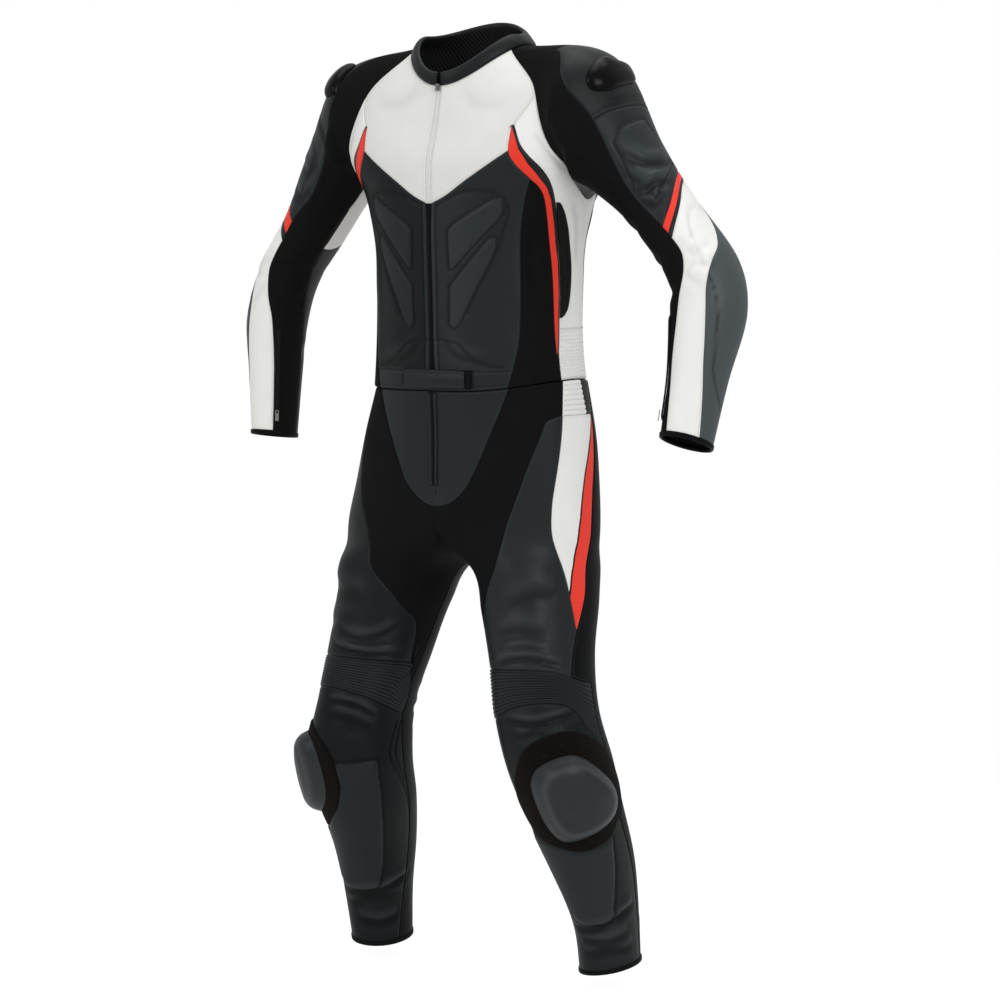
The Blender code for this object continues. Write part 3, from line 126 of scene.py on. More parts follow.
# level, x, y, lean, forward pitch, outer, front and back reach, squareness
legRings = {
    1: ringTable(
        "mmm..mmm.",
        (645, 111, -6, 4, 0, 85, 110, 106, 2.3),
        (590, 122.5, -14, 6, 0, 84, 100, 94, 2.2),
        (510, 144, -40, 8, 2, 76, 88, 86, 2.1),
        (430, 167, -60, 8, 3, 76, 84, 82, 2.1),
        (350, 198, -68, 8, 0, 76, 84, 86, 2.1),
        (270, 211, -44, 8, -8, 63, 78, 88, 2.1),
        (190, 217, -8, 6, -10, 56, 68, 78, 2.1),
        (110, 221, 20, 5, -10, 46, 58, 62, 2.1),
        (20, 216, 42, 5, -8, 44.5, 52, 52, 2.1)),
    -1: ringTable(
        "mmm..mmm.",
        (645, 136, -14, 4, 0, 93, 110, 106, 2.3),
        (590, 146, -30, 6, 0, 82, 100, 94, 2.2),
        (510, 158, -52, 8, 2, 76, 88, 86, 2.1),
        (430, 174, -66, 8, 3, 70, 84, 82, 2.1),
        (350, 186, -68, 8, 0, 77, 84, 86, 2.1),
        (270, 193, -44, 8, -8, 70, 78, 88, 2.1),
        (190, 204, -8, 6, -10, 55.5, 68, 78, 2.1),
        (110, 219, 20, 5, -10, 49, 58, 62, 2.1),
        (20, 227, 42, 5, -8, 43, 52, 52, 2.1)),
}


# ---- the worn shape ----
def smooth(keys, values, at):
    # a smooth curve through values kept at rising keys; with three axes each place has its own values
    keys, values = np.asarray(keys, float), np.asarray(values, float)
    at = np.atleast_1d(np.asarray(at, float))
    steps = np.diff(keys).reshape((-1,) + (1,) * (values.ndim - 1))
    rates = np.diff(values, axis=0) / steps
    middle = (rates[:-1] * steps[1:] + rates[1:] * steps[:-1]) / (steps[1:] + steps[:-1])
    slopes = np.concatenate((rates[:1], middle, rates[-1:]))
    row = np.clip(np.searchsorted(keys, at) - 1, 0, len(keys) - 2)
    span = (keys[row + 1] - keys[row])[:, None]
    share = np.clip((at - keys[row])[:, None] / span, -0.5, 1.5)
    own = (np.arange(len(at)),) if values.ndim == 3 else ()
    square, cube = share ** 2, share ** 3
    return (values[(row,) + own] * (2 * cube - 3 * square + 1)
            + slopes[(row,) + own] * span * (cube - 2 * square + share)
            + values[(row + 1,) + own] * (3 * square - 2 * cube)
            + slopes[(row + 1,) + own] * span * (cube - square))


def reach(sine, cosine, side, fore, square):
    return ((np.abs(sine) / side) ** square + (np.abs(cosine) / fore) ** square) ** (-1 / square)


def sectionPoints(columns, level, angle):
    half, front, back, middle, sideRise, backRise, square = columns
    sine, cosine = np.sin(np.radians(angle)), np.cos(np.radians(angle))
    out = reach(sine, cosine, half, np.where(cosine > 0, front, back), square)
    rise = sideRise * sine ** 2 + backRise * np.maximum(-cosine, 0) ** 2
    return np.stack((out * sine, middle - out * cosine, level + rise + 0 * out), axis=1)


def hemLift(side, angle):
    return figure["hemRise"][side] * np.sin(np.radians(angle)) ** 4


def torsoForm(side, angle, level):
    # angle 0 is the centre front, 90 the side, 180 the centre back
    columns = smooth(torsoRings[:, 0], torsoRings[:, 1:], level).T
    points = sectionPoints(columns, level, angle)
    fading = np.clip((figure["hemRiseTop"] - level) / figure["hemRiseOver"], 0, 1)
    points[:, 2] += hemLift(side, angle) * fading ** 2
    return points * (side, 1, 1)


def collarForm(side, angle, share):
    # share 0 is the neck seam, 1 the top edge
    low = sectionPoints(torsoRings[-1, 1:], figure["neck"], angle)
    high = sectionPoints(collarRim[1:], collarRim[0], angle)
    share = np.asarray(share, float).reshape(-1, 1)
    return (low * (1 - share) + high * share) * (side, 1, 1)


def ringPoints(middle, lean, pitch, outer, fore, aft, square, angle):
    lean, pitch, angle = math.radians(lean), math.radians(pitch), np.radians(angle)
    across = np.array((math.cos(lean), 0, math.sin(lean)))
    down = np.array((math.sin(lean), 0, -math.cos(lean)))
    ahead = np.array((0, -1, 0)) * math.cos(pitch) - down * math.sin(pitch)
    cosine, sine = np.cos(angle), np.sin(angle)
    out = reach(sine, cosine, np.where(sine > 0, fore, aft), outer, square)
    return middle + across * (out * cosine)[:, None] + ahead * (out * sine)[:, None]


def sleeveForm(side, angle, along):
    # angle 0 is the top or outside of the sleeve, 90 the front, 180 underneath
    hole = smooth(armholePath[:, 0], armholePath[:, 1:], angle % 360)
    start = torsoForm(1, hole[:, 0], np.minimum(figure["neck"], hole[:, 1]))
    rings = [start] + [ringPoints(row[1:4], *row[4:], angle) for row in sleeveRings[side]]
    rings[1][:, 0] = np.maximum(rings[1][:, 0], start[:, 0] + figure["armpitEase"])
    stops = np.concatenate(((0,), sleeveRings[side][:, 0]))
    return smooth(stops, np.stack(rings), along) * (side, 1, 1)


def legForm(side, angle, level):
    # angle 0 is the outside, 90 the front, 180 the inside, 270 the back
    crotch = figure["crotchAngle"]
    turn = (angle + 180) % 360 - 180
    around = np.clip(90 - turn * 90 / crotch, 0, 180)
    share = np.clip((angle % 360 - crotch) / (360 - 2 * crotch), 0, 1)
    stops, rings, levels = [], [], figure["hipLevels"]
    for stop in levels:
        half, front, back, middle, square = smooth(hipRings[side][:, 0], hipRings[side][:, 1:], stop)[0]
        columns = (half, front, back, middle, 0, 0, square)
        outside = sectionPoints(columns, stop, around)
        if stop == levels[0]:
            outside[:, 2] += hemLift(side, around)
        fore, aft = sectionPoints(columns, stop, np.array((0.0, 180.0)))
        inside = fore + (aft - fore) * (0.5 - 0.5 * np.cos(math.pi * share))[:, None]
        if stop == levels[-1]:
            inside[:, 2] -= figure["crotchDip"] * np.sin(math.pi * share) ** 0.8
        rings.append(np.where((np.abs(turn) <= crotch)[:, None], outside, inside))
        stops.append(-stop)
    for row in legRings[side]:
        rings.append(ringPoints(np.array((row[1], row[2], row[0])), *row[3:], angle))
        stops.append(-row[0])
    points = smooth(stops, np.stack(rings), -level)
    points[:, 0] = np.where(level >= levels[-1], np.maximum(points[:, 0], 0), points[:, 0])
    return points * (side, 1, 1)


def hipForm(side, angle, level):
    # the top of the trousers by the same angles as the jacket
    half, front, back, middle, square = smooth(hipRings[side][:, 0], hipRings[side][:, 1:], level).T
    return sectionPoints((half, front, back, middle, 0, 0, square), level, angle) * (side, 1, 1)


forms = {"torso": (torsoForm, 1), "sleeve": (sleeveForm, 1), "leg": (legForm, -1), "hip": (hipForm, 1),
         "collar": (collarForm, 1)}


def surface(form, side, angle, level):
    # places on the worn shape, and the straight way out of the cloth there
    shape, sign = forms[form]
    points = shape(side, angle, level)
    over = shape(side, angle + 0.6, level) - shape(side, angle - 0.6, level)
    down = shape(side, angle, level + 0.002) - shape(side, angle, level - 0.002)
    away = np.cross(over, down) * (sign * side)
    return points, away / np.maximum(np.linalg.norm(away, axis=1), 1e-12)[:, None]


# ---- seams, as angle and level ----
def inMetres(flat):
    # pairs of angle and level from a row of angles and millimetres
    return tuple(zip(flat[::2], (level / 1000 for level in flat[1::2])))


def row(level, *angles):
    return [number for angle in angles for number in (angle, level)]


def column(angle, *levels):
    return [number for level in levels for number in (angle, level)]


def seamTable(**seams):
    return {name: inMetres(flat) for name, flat in seams.items()}


hemLine, waistLine, ankleLine, cuffLine, neckLine = (
    round(figure[name] * 1000, 1) for name in ("jacketHem", "trouserTop", "legHem", "cuff", "neck"))
bodySeams = seamTable(
    zipChest=column(2, neckLine, 1352, 1318, 1282, 1245, 1206),
    zipChestFar=column(-2, neckLine, 1352, 1318, 1282, 1245, 1206),
    zipBelly=(2, 1206, 1.3, 1164, 1.3, 1122, 1.3, 1080, 1.3, 1037, 1.3, 994, 2, 950, 2, hemLine),
    zipBellyFar=(-2, 1206, -1.3, 1164, -1.3, 1122, -1.3, 1080, -1.3, 1037, -1.3, 994, -2, 950, -2, hemLine),
    neckMiddle=row(neckLine, -2, 2),
    veeMiddle=row(1206, -2, 2),
    bandMiddle=row(950, -2, 2),
    hemMiddle=row(hemLine, -2, 2),
    neck=row(neckLine, 2, 19, 36, 53, 70),
    neckBack=row(neckLine, 110, 133, 156, 180),
    vee=(2, 1206, 13, 1218, 25, 1236, 37, 1253, 48.9, 1270),
    yokeSide=(63.9, 1327, 52.4, 1299),
    stripeIn=(51.2, 1299, 48.9, 1270, 52, 1251, 58.8, 1232, 63.4, 1221, 66.9, 1206, 71.2, 1168, 74.9, 1120,
        76.4, 1070, 77, 1015, 77.8, 975),
    stripeOut=(52.4, 1299, 54.2, 1275, 58.2, 1258, 64, 1241, 68.8, 1225, 72.6, 1206, 77.2, 1168, 80.3, 1120,
        81.1, 1070, 80.4, 1015, 79.4, 975),
    stripeTop=row(1299, 52.4, 51.2),
    stripeFoot=row(975, 77.8, 79.4),
    belowStripe=(79.4, 975, 79.8, hemLine),
    bellySide=(58.8, 1232, 57, 1188, 57, 1140, 57.5, 1092, 57.5, 1044, 56.5, 996, 53, 950, 50, hemLine),
    bandTop=row(950, 2, 10, 18, 27, 36, 45, 53),
    bandFoot=row(hemLine, 2, 10, 18, 27, 35, 43, 50),
    hemStretch=row(hemLine, 50, 65, 79.8),
    hemSide=row(hemLine, 79.8, 85, 91, 97, 102.5, 108),
    sideBack=(106, 1216, 107, 1190, 108, 1165, 108, 1140, 108, 1115, 108, 1090, 108, 1065, 108, 1040, 108,
        1016, 108, 992, 108, 968, 108, 945, 108, hemLine),
    sideRear=(106, 1216, 108, 1165, 108, 1115, 108, 1065, 108, 1016, 108, 968, 108, hemLine),
    sideAcross=(72.6, 1206, 77.73, 1209.3, 82.87, 1212.7, 88, 1216),
    backCross=(106, 1216, 131, 1212, 156, 1205, 180, 1200),
    spineUpper=column(180, neckLine, 1339, 1293, 1246, 1200),
    spineLower=column(180, 1200, 1176, 1153, 1130, 1107, 1083, 1060, 1037, 1014, 990, 967, 944, hemLine),
    hemBack=row(hemLine, 108, 132, 156, 180))
bodySeams["armhole"] = tuple((angle, level) for turn, angle, level in armholePath[2:14])
sleeveSeams = seamTable(
    neck=row(0, 25, 12.5, 0, -12.5, -25),
    front=(25, 0, 25, 52, 47.6, 68, 60, 100, 62, 140, 74.6, 185, 83, 230, 84, 272, 79.2, 309, 77.5, 325, 78,
        347, 88, 372, 101, 402, 110, 435, 116.5, 472, 122, 520, 117, 580, 110, cuffLine),
    under=(150, 0, 150, 35, 151, 70, 152, 105, 154, 140, 156, 185, 158, 230, 163, 272, 169, 300, 176, 325,
        182, 347, 188, 372, 193, 402, 197, 435, 199, 472, 200, 520, 200, 580, 200, cuffLine),
    rear=(-25, 0, -25, 52, -42, 66, -54, 100, -60, 140, -60, 163, -60, 185, -60, 203, -60, 218, -60, 238, -64,
        285, -68, 330, -71, 370, -73, 410, -75, 455, -76, 510, -76, 575, -76, cuffLine),
    capTop=row(52, 25, 12.5, 0, -12.5, -25),
    capFoot=(62, 140, 32, 144.5, 2, 144.8, -28, 143, -60, 140),
    bandTop=(79.2, 309, 48, 287.5, 18, 266, -20, 240, -60, 218),
    bandFoot=(77.5, 325, 52, 305, 22, 284, -18, 258, -60, 238),
    elbow=(-60, 238, -31, 300, 7, 340, 42, 372, 58, 410, 61, 455, 53.3, 510, 40.2, 575, 28, cuffLine),
    across=row(140, 62, 80, 98, 116, 135, 154),
    cuffInner=row(cuffLine, 110, 128, 146, 164, 182, 200),
    cuffFront=row(cuffLine, 110, 90, 69, 48, 28),
    cuffOuter=row(cuffLine, 28, -6, -41, -76),
    cuffRear=row(cuffLine, 200, 214, 228, 242, 256, 270, 284),
    acrossRear=row(140, 154, 178, 202, 227, 252, 276, 300))
sleeveSeams["armhole"] = tuple((turn, 0.0) for turn, angle, level in armholePath[2:14])
# the wearer's right arm hangs differently, so its seams lie further forward
rightSleeveSeams = dict(sleeveSeams, **seamTable(
    front=(25, 0, 25, 52, 62, 68, 84, 100, 99, 137, 98.5, 180, 97, 215, 89, 243, 82, 266, 82, 302, 83.5, 330,
        87, 360, 100, 398, 117, 435, 124, 472, 126, 520, 126.5, 580, 125, cuffLine),
    under=(150, 0, 150, 35, 152, 70, 157, 105, 165, 140, 170, 185, 159, 230, 157, 272, 160, 300, 164, 325,
        171, 347, 177, 372, 183, 402, 189, 435, 194, 472, 198, 520, 200, 580, 200, cuffLine),
    capFoot=(99, 137, 58, 138, 18, 138, -22, 139, -60, 140),
    bandTop=(82, 266, 48, 251, 18, 238, -20, 226, -60, 218),
    bandFoot=(82, 302, 52, 284, 22, 268, -18, 252, -60, 238),
    across=(99, 137, 112, 137, 126, 138, 139, 139, 152, 140, 165, 140),
    cuffInner=row(cuffLine, 125, 140, 155, 170, 185, 200),
    cuffFront=row(cuffLine, 125, 101, 76, 52, 28),
    acrossRear=row(140, 165, 187, 210, 232, 255, 277, 300)))
legSeams = seamTable(
    waistFly=row(waistLine, 140, 120, 100, 80, 61),
    waistStretch=row(waistLine, 61, 50, 39, 27, 16),
    waistRib=row(waistLine, 16, 4, -8, -20),
    waistBack=row(waistLine, -20, -37, -54, -71, -88, -105, -122, -140),
    flyMiddle=column(140, waistLine, 876, 832, 787, 742),
    flyEdge=(61, waistLine, 69, 885, 78, 850, 87, 815, 97, 783, 106, 764, 116, 751, 127, 744, 140, 742),
    crotchFront=column(140, 742, 700),
    crotch=row(700, 140, 158, 176, 195, 208, 220),
    innerBack=(195, 700, 192, 620, 187, 540, 182, 464),
    ribSide=(16, waistLine, 19.8, 880),
    ribRear=(-20, waistLine, -16, 880),
    thighTop=(19.8, 880, 23.5, 880, 27, 878, 31, 876, 34.2, 872),
    thigh=(34.2, 872, 40, 845, 46.8, 810, 53.5, 770, 59, 730, 67.4, 695, 86.1, 660, 104, 625, 120, 587, 141,
        548, 163, 501),
    stripeFront=(19.8, 880, 23, 842, 26.2, 800, 29.1, 762, 29.7, 728, 29.9, 690, 30, 650, 25.1, 612, 20.2,
        580, 13, 546),
    stripeRear=(-16, 880, -14, 842, -12, 800, -9, 762, -7, 728, -6.5, 690, -6, 650, -2, 612, 5.5, 580, 13,
        546),
    stripeTop=row(880, 19.8, 8, -4, -16),
    belowStripe=(13, 546, 22, 479),
    ribTop=(-15, 469, 4, 472, 22, 479, 44, 489, 82, 497, 122, 502, 163, 501, 168, 492, 173, 483, 178, 474,
        182, 464),
    ribFoot=(-15, 368, 4, 396, 22, 430, 44, 443, 80, 444, 118, 433.5, 152, 424.5, 160, 422, 167, 420, 174,
        419, 180, 418),
    ribOuter=column(-15, 469, 418, 368),
    ribInner=(182, 464, 183, 440, 180, 418),
    shinOuter=(-15, 368, -20, 318, -24, 260, -27, 200, -29, 140, -30, 83, -30, ankleLine),
    shinInner=(180, 418, 179, 350, 178, 285, 177, 220, 176, 155, 175, 90, 175, ankleLine),
    hemFront=row(ankleLine, -30, -8, 14, 36, 58, 80, 102, 120, 139, 157, 175),
    hemBack=row(ankleLine, -30, -61, -92, -123, -154, -185),
    seat=column(-140, waistLine, 883, 847, 810, 774, 737, 700),
    thighBack=(13, 546, -13, 546, -40, 545, -66, 545, -93, 544, -120, 543, -146, 541, -173, 540),
    kneeBack=(-15, 469, -48, 468, -80, 467, -113, 466, -146, 465, -178, 464))
# the wearer's right leg is turned out a little more, so its seams run further round
rightLegSeams = dict(legSeams, **seamTable(
    ribSide=(16, waistLine, 18, 880),
    thighTop=(18, 880, 22, 880, 26, 878, 30, 876, 34, 872),
    thigh=(34, 872, 35, 845, 36.6, 810, 40.5, 770, 44.6, 730, 56, 695, 86, 662, 109, 626, 135, 589, 158, 560,
        168, 501),
    stripeFront=(18, 880, 16, 842, 16, 800, 16, 762, 16, 728, 15, 690, 16, 650, 19, 612, 19, 580, 13, 546),
    stripeRear=(-16, 880, -19, 842, -22, 800, -23, 762, -20, 728, -15, 690, -9, 650, -1, 612, 6, 580, 13,
        546),
    stripeTop=row(880, 18, 6.7, -4.6, -16),
    ribTop=(-15, 469, 4, 472, 22, 479, 44, 489, 85, 497, 127, 502, 168, 501, 171.5, 492, 175.5, 483, 179, 474,
        182, 464),
    ribFoot=(-15, 375, 4, 401, 22, 425, 44, 438, 80, 448, 118, 444.5, 152, 431, 160, 428, 168, 425, 175, 422,
        181, 419),
    ribOuter=column(-15, 469, 422, 375),
    ribInner=(182, 464, 186, 441, 181, 419),
    shinOuter=(-15, 375, -20, 322, -24, 262, -27, 200, -29, 140, -30, 83, -30, ankleLine),
    shinInner=(181, 419, 187, 350, 195, 285, 198, 220, 190.4, 155, 175.7, 90, 163.5, ankleLine),
    hemFront=row(ankleLine, -30, -10, 10, 30, 50, 70, 90, 109, 128, 146, 163.5),
    hemBack=row(ankleLine, -30, -63, -97, -130, -163, -196.5)))

# Patches: four sides in order round the patch, one edge going down, the foot, the other edge going down,
# the top.  Each side is a chain of seam stretches (seam, first point, last point) and, where the seam is
# met from the far side of the limb, the turn to add to its angles.  Semicolons part a kind's patches.
jacket = {
    "chest": "zipChest 0 5 | vee 0 4 | armhole 0 2 + yokeSide 0 1 + stripeTop 0 1 + stripeIn 0 1 | neck 0 4",
    "belly": "zipBelly 0 6 | bandTop 0 6 | bellySide 0 6 | vee 0 4 + stripeIn 1 3",
    "stretchSide": (
        "bellySide 0 7 | hemStretch 0 2 | stripeIn 5 10 + stripeFoot 0 1 + belowStripe 0 1 | stripeIn 3 5"),
    "chestStripe": "stripeIn 0 10 | stripeFoot 0 1 | stripeOut 0 10 | stripeTop 1 0",
    "sidePanel": (
        "stripeOut 2 5 | sideAcross 0 3 | armhole 2 5 | stripeOut 2 0 + yokeSide 1 0; stripeOut 5 10 + "
        "belowStripe 0 1 | hemSide 0 5 | sideRear 0 6 | sideAcross 0 3 + armhole 5 7"),
}
jacketWhole = {
    "backUpper": "armhole 11 7 | backCross 0 3 | spineUpper 0 4 | neckBack 0 3",
    "backLower": "sideBack 0 12 | hemBack 0 3 | spineLower 0 12 | backCross 0 3",
    "hemBand": "zipBelly 6 7 | bandFoot 0 6 | bellySide 6 7 | bandTop 0 6",
}
jacketMiddle = {
    "chestLeft": "zipChestFar 0 5 | veeMiddle 0 1 | zipChest 0 5 | neckMiddle 0 1",
    "frontZip": "zipBellyFar 0 6 | bandMiddle 0 1 | zipBelly 0 6 | veeMiddle 0 1",
    "hemBand": "zipBellyFar 6 7 | hemMiddle 0 1 | zipBelly 6 7 | bandMiddle 0 1",
}
sleeve = {
    "sleeveStretch": (
        "front 0 4 | across 0 5 | under 0 4 | armhole 0 5; front 4 17 | cuffInner 0 5 | under 4 17 | "
        "across 0 5; front 0 1 | capTop 0 4 | rear 0 1 | neck 0 4"),
    "shoulderCap": "front 1 4 | capFoot 0 4 | rear 1 4 | capTop 0 4",
    "armPad": "front 4 8 | bandTop 0 4 | rear 4 8 | capFoot 0 4",
    "armStripe": "front 8 9 | bandFoot 0 4 | rear 8 9 | bandTop 0 4",
    "forearmFront": "front 9 17 | cuffFront 0 4 | elbow 0 8 | bandFoot 0 4",
    "forearmOuter": "elbow 0 8 | cuffOuter 0 3 | rear 9 17 | elbow 0 0",
    "sleeveBack": (
        "under 0 4 | acrossRear 0 6 | rear 0 4 360 | armhole 5 11; under 4 17 | cuffRear 0 6 | rear 4 17 "
        "360 | acrossRear 0 6"),
}
trousers = {
    "legStretch": (
        "flyEdge 0 8 + crotchFront 0 1 + crotch 0 3 + innerBack 0 3 | ribTop 10 6 | ribSide 0 1 + thighTop "
        "0 4 + thigh 0 10 | waistStretch 0 4"),
    "thighOuter": "thigh 0 10 | ribTop 6 2 | stripeFront 0 9 + belowStripe 0 1 | thighTop 4 0",
    "thighStripe": "stripeFront 0 9 | stripeFront 9 9 | stripeRear 0 9 | stripeTop 0 3",
    "waistRib": "ribSide 0 1 | stripeTop 0 3 | ribRear 0 1 | waistRib 0 3",
    "legBack": (
        "ribRear 0 1 + stripeRear 0 9 | thighBack 0 7 | seat 0 6 + crotch 5 3 -360 + innerBack 0 2 -360 | "
        "waistBack 0 7; belowStripe 0 1 | ribTop 2 0 + kneeBack 0 5 | innerBack 2 3 -360 | thighBack 0 7; "
        "ribOuter 0 2 + shinOuter 0 6 | hemBack 0 5 | ribInner 0 2 -360 + shinInner 0 6 -360 | kneeBack 0 "
        "5"),
    "kneeRib": "ribOuter 0 2 | ribFoot 0 10 | ribInner 0 2 | ribTop 0 10",
    "shin": "shinOuter 0 6 | hemFront 0 10 | shinInner 0 6 | ribFoot 0 10",
}
trousersWhole = {
    "fly": "flyEdge 0 4 | flyEdge 4 8 | flyMiddle 0 4 | waistFly 4 0",
}


def chainsOf(patch):
    # the sides of a patch as lists of seam stretches
    return [[(name, *map(int, numbers)) for name, *numbers in map(str.split, side.split(" + "))]
            for side in patch.split(" | ")]


# ---- nets of cloth ----
cloth = {
    "grain": 0.005,       # spacing of the cloth's corners
    "fine": {              # closer spacing across and down where a panel is quilted or ribbed
        "belly": (0.0024, 0.0024), "armPad": (0.0028, 0.0028), "shin": (0.003, 0.003),
        "kneeRib": (0.0036, 0.001), "waistRib": (0.0045, 0.0013), "sidePanel": (0.0045, 0.0013),
        "sleeveStretch": (0.004, 0.004), "fly": (0.003, 0.003), "hemBand": (0.003, 0.003),
        "thighOuter": (0.004, 0.004), "sleeveBack": (0.004, 0.004), "thighStripe": (0.003, 0.004),
        "chestStripe": (0.0015, 0.004), "armStripe": (0.003, 0.0015), "forearmOuter": (0.0036, 0.0036),
        "shoulderCap": (0.0034, 0.0034)},
    "wall": 0.0018,        # thickness of a panel
    "turnIn": 0.0013,      # how far a seam is drawn in
    "turnWidth": 0.0042,   # how far from the seam that starts
    "relaxTurns": 160,     # turns of evening out the corners, without letting them fold over a seam
    "degree": 0.0018,      # how far one degree is on the body
    "uneven": (0.0005, 0.13),          # depth and size of the slight unevenness everywhere
    "foldEase": 0.009,     # how far from a seam folds run out
    "pressEase": 0.003,    # how far from a seam pressed shapes run out
    # darkest: the fold and pressed-line depths at which the painted shade is full
    "darkest": (0.0034, 0.0012),       # depths of fold and of pressed line that are darkened in full
    "loopEase": 0.007,     # how far off the loop pile folds run out
}
# seams where a panel carries on unsewn
innerJoins = {"across", "sideAcross", "acrossRear", "thighBack", "kneeBack", "spineUpper", "spineLower",
              "flyMiddle"}
farAway = 0.5


def seamPlaces(seams, name, place):
    # angle and level at counted places along a seam
    corners = np.asarray(seams[name], float)
    if name == "armhole":
        turn = np.interp(place, np.arange(len(corners)), armholePath[2:14, 0])
        if seams is not bodySeams:
            return np.stack((turn, 0 * turn), axis=1)
        hole = smooth(armholePath[:, 0], armholePath[:, 1:], turn)
        hole[:, 1] = np.minimum(figure["neck"], hole[:, 1])
        return hole
    return smooth(np.arange(len(corners)), corners, place)


def chainCorners(seams, chain):
    corners = []
    for name, first, last, *turn in chain:
        step = 1 if last >= first else -1
        for index in range(first, last + step, step):
            if corners and index == first:
                continue
            angle, level = seams[name][index]
            corners.append((angle + sum(turn), level))
    return np.array(corners, float)


def chainPlaces(seams, chain, share):
    # angle and level at shares 0 to 1 of a side of a patch, and whether the cloth carries on there
    counts = [abs(last - first) for name, first, last, *turn in chain]
    found, carriesOn = np.zeros((len(share), 2)), np.zeros(len(share), bool)
    if sum(counts) == 0:
        return found + chainCorners(seams, chain)[0], carriesOn
    begin = 0
    for (name, first, last, *turn), count in zip(chain, counts):
        local = share * sum(counts) - begin
        inside = (local >= -1e-6) & (local <= count + 1e-6)
        place = first + np.sign(last - first) * np.clip(local, 0, count)
        found[inside] = (seamPlaces(seams, name, place) + (sum(turn), 0))[inside]
        carriesOn[inside] = name in innerJoins
        begin += count
    return found, carriesOn


def cornerNet(sides):
    # coarse corners of a patch, blended from its four sides and then evened out
    first, foot, second, top = sides
    top = np.repeat(top, len(foot), axis=0) if len(top) == 1 else top
    foot = np.repeat(foot, len(top), axis=0) if len(foot) == 1 else foot
    down = np.linspace(0, 1, len(first))[:, None, None]
    over = np.linspace(0, 1, len(top))[None, :, None]
    net = first[:, None] * (1 - over) + second[:, None] * over + top[None] * (1 - down) + foot[None] * down
    net -= ((top[0] * (1 - over) + top[-1] * over) * (1 - down)
            + (foot[0] * (1 - over) + foot[-1] * over) * down)
    net = net * (cloth["degree"], 1)
    for turn in range(cloth["relaxTurns"]):
        over, down = (net[1:-1, 2:] - net[1:-1, :-2]) / 2, (net[2:, 1:-1] - net[:-2, 1:-1]) / 2
        alpha, gamma = (down ** 2).sum(axis=2, keepdims=True), (over ** 2).sum(axis=2, keepdims=True)
        cross = (net[2:, 2:] - net[2:, :-2] - net[:-2, 2:] + net[:-2, :-2]) / 2
        twist = cross * (over * down).sum(axis=2, keepdims=True)
        even = alpha * (net[1:-1, 2:] + net[1:-1, :-2]) + gamma * (net[2:, 1:-1] + net[:-2, 1:-1]) - twist
        net[1:-1, 1:-1] += 0.6 * (even / (2 * (alpha + gamma) + 1e-12) - net[1:-1, 1:-1])
    return net / (cloth["degree"], 1)


def spread(spans, length, grain):
    # shares along a side, even but for extra lines close to both ends for the turned seam
    steps = max(1, round(length / spans / grain))
    shares = np.linspace(0, 1, spans * steps + 1)
    if length > 0.03:
        near = np.array((0.28, 0.62, 1.0)) * cloth["turnWidth"] / length
        shares = np.concatenate((shares, near, 1 - near))
    return np.unique(np.round(shares, 9))


def runs(points, axis):
    # distances along the cloth from its first line and from its last
    steps = np.linalg.norm(np.diff(points, axis=axis), axis=2)
    along = np.insert(np.cumsum(steps, axis=axis), 0, 0, axis=axis)
    return along, np.take(along, [-1], axis=axis) - along


def unfolded(net):
    # draw corners in where the cloth would lie folded over a seam, and keep the flattest net
    best, least = net.copy(), 1.0
    for turn in range(cloth["relaxTurns"]):
        over, down = np.diff(net, axis=1), np.diff(net, axis=0)
        start = over[:-1, :, 0] * down[:, :-1, 1] - over[:-1, :, 1] * down[:, :-1, 0]
        end = over[1:, :, 0] * down[:, 1:, 1] - over[1:, :, 1] * down[:, 1:, 0]
        turned = np.minimum(np.minimum(start, end) if start.sum() > 0 else -np.maximum(start, end), 0)
        if -turned.sum() < least:
            best, least = net.copy(), -turned.sum()
        near = np.pad(turned < -1e-9, 3)
        for step in range(2):
            near[1:-1] |= near[:-2] | near[2:]
            near[:, 1:-1] |= near[:, :-2] | near[:, 2:]
        near = near[2:-2, 2:-2]
        loose = near[1:-2, 1:-2] | near[2:-1, 1:-2] | near[1:-2, 2:-1] | near[2:-1, 2:-1]
        if not loose.any():
            break
        even = (net[:-2, 1:-1] + net[2:, 1:-1] + net[1:-1, :-2] + net[1:-1, 2:]) / 4
        net[1:-1, 1:-1] = np.where(loose[..., None], even, net[1:-1, 1:-1])
    return best


def clothNet(kind, form, side, seams, chains):
    # fine angles and levels of a patch whose sides follow the seams exactly
    coarse = cornerNet([chainCorners(seams, chain) for chain in chains])
    rows, columns = coarse.shape[0] - 1, coarse.shape[1] - 1
    places = forms[form][0](side, *coarse.reshape(-1, 2).T).reshape(rows + 1, columns + 1, 3)
    grainOver, grainDown = cloth["fine"].get(kind, (cloth["grain"], cloth["grain"]))
    down = spread(rows, runs(places, 0)[0][-1].mean(), grainDown)
    over = spread(columns, runs(places, 1)[0][:, -1].max(), grainOver)
    net = smooth(np.arange(rows + 1), coarse.reshape(rows + 1, -1), down * rows)
    net = net.reshape(len(down), columns + 1, 2).transpose(1, 0, 2).reshape(columns + 1, -1)
    net = smooth(np.arange(columns + 1), net, over * columns)
    net = net.reshape(len(over), len(down), 2).transpose(1, 0, 2)
    first, foot, second, top = [chainPlaces(seams, chain, share)
                                for chain, share in zip(chains, (down, over, down, over))]
    shareDown, shareOver = down[:, None, None], over[None, :, None]
    off = (first[0] - net[:, 0])[:, None] * (1 - shareOver) + (second[0] - net[:, -1])[:, None] * shareOver
    off += (top[0] - net[0])[None] * (1 - shareDown) + (foot[0] - net[-1])[None] * shareDown
    return unfolded(net + off), [found[1] for found in (first, foot, second, top)]


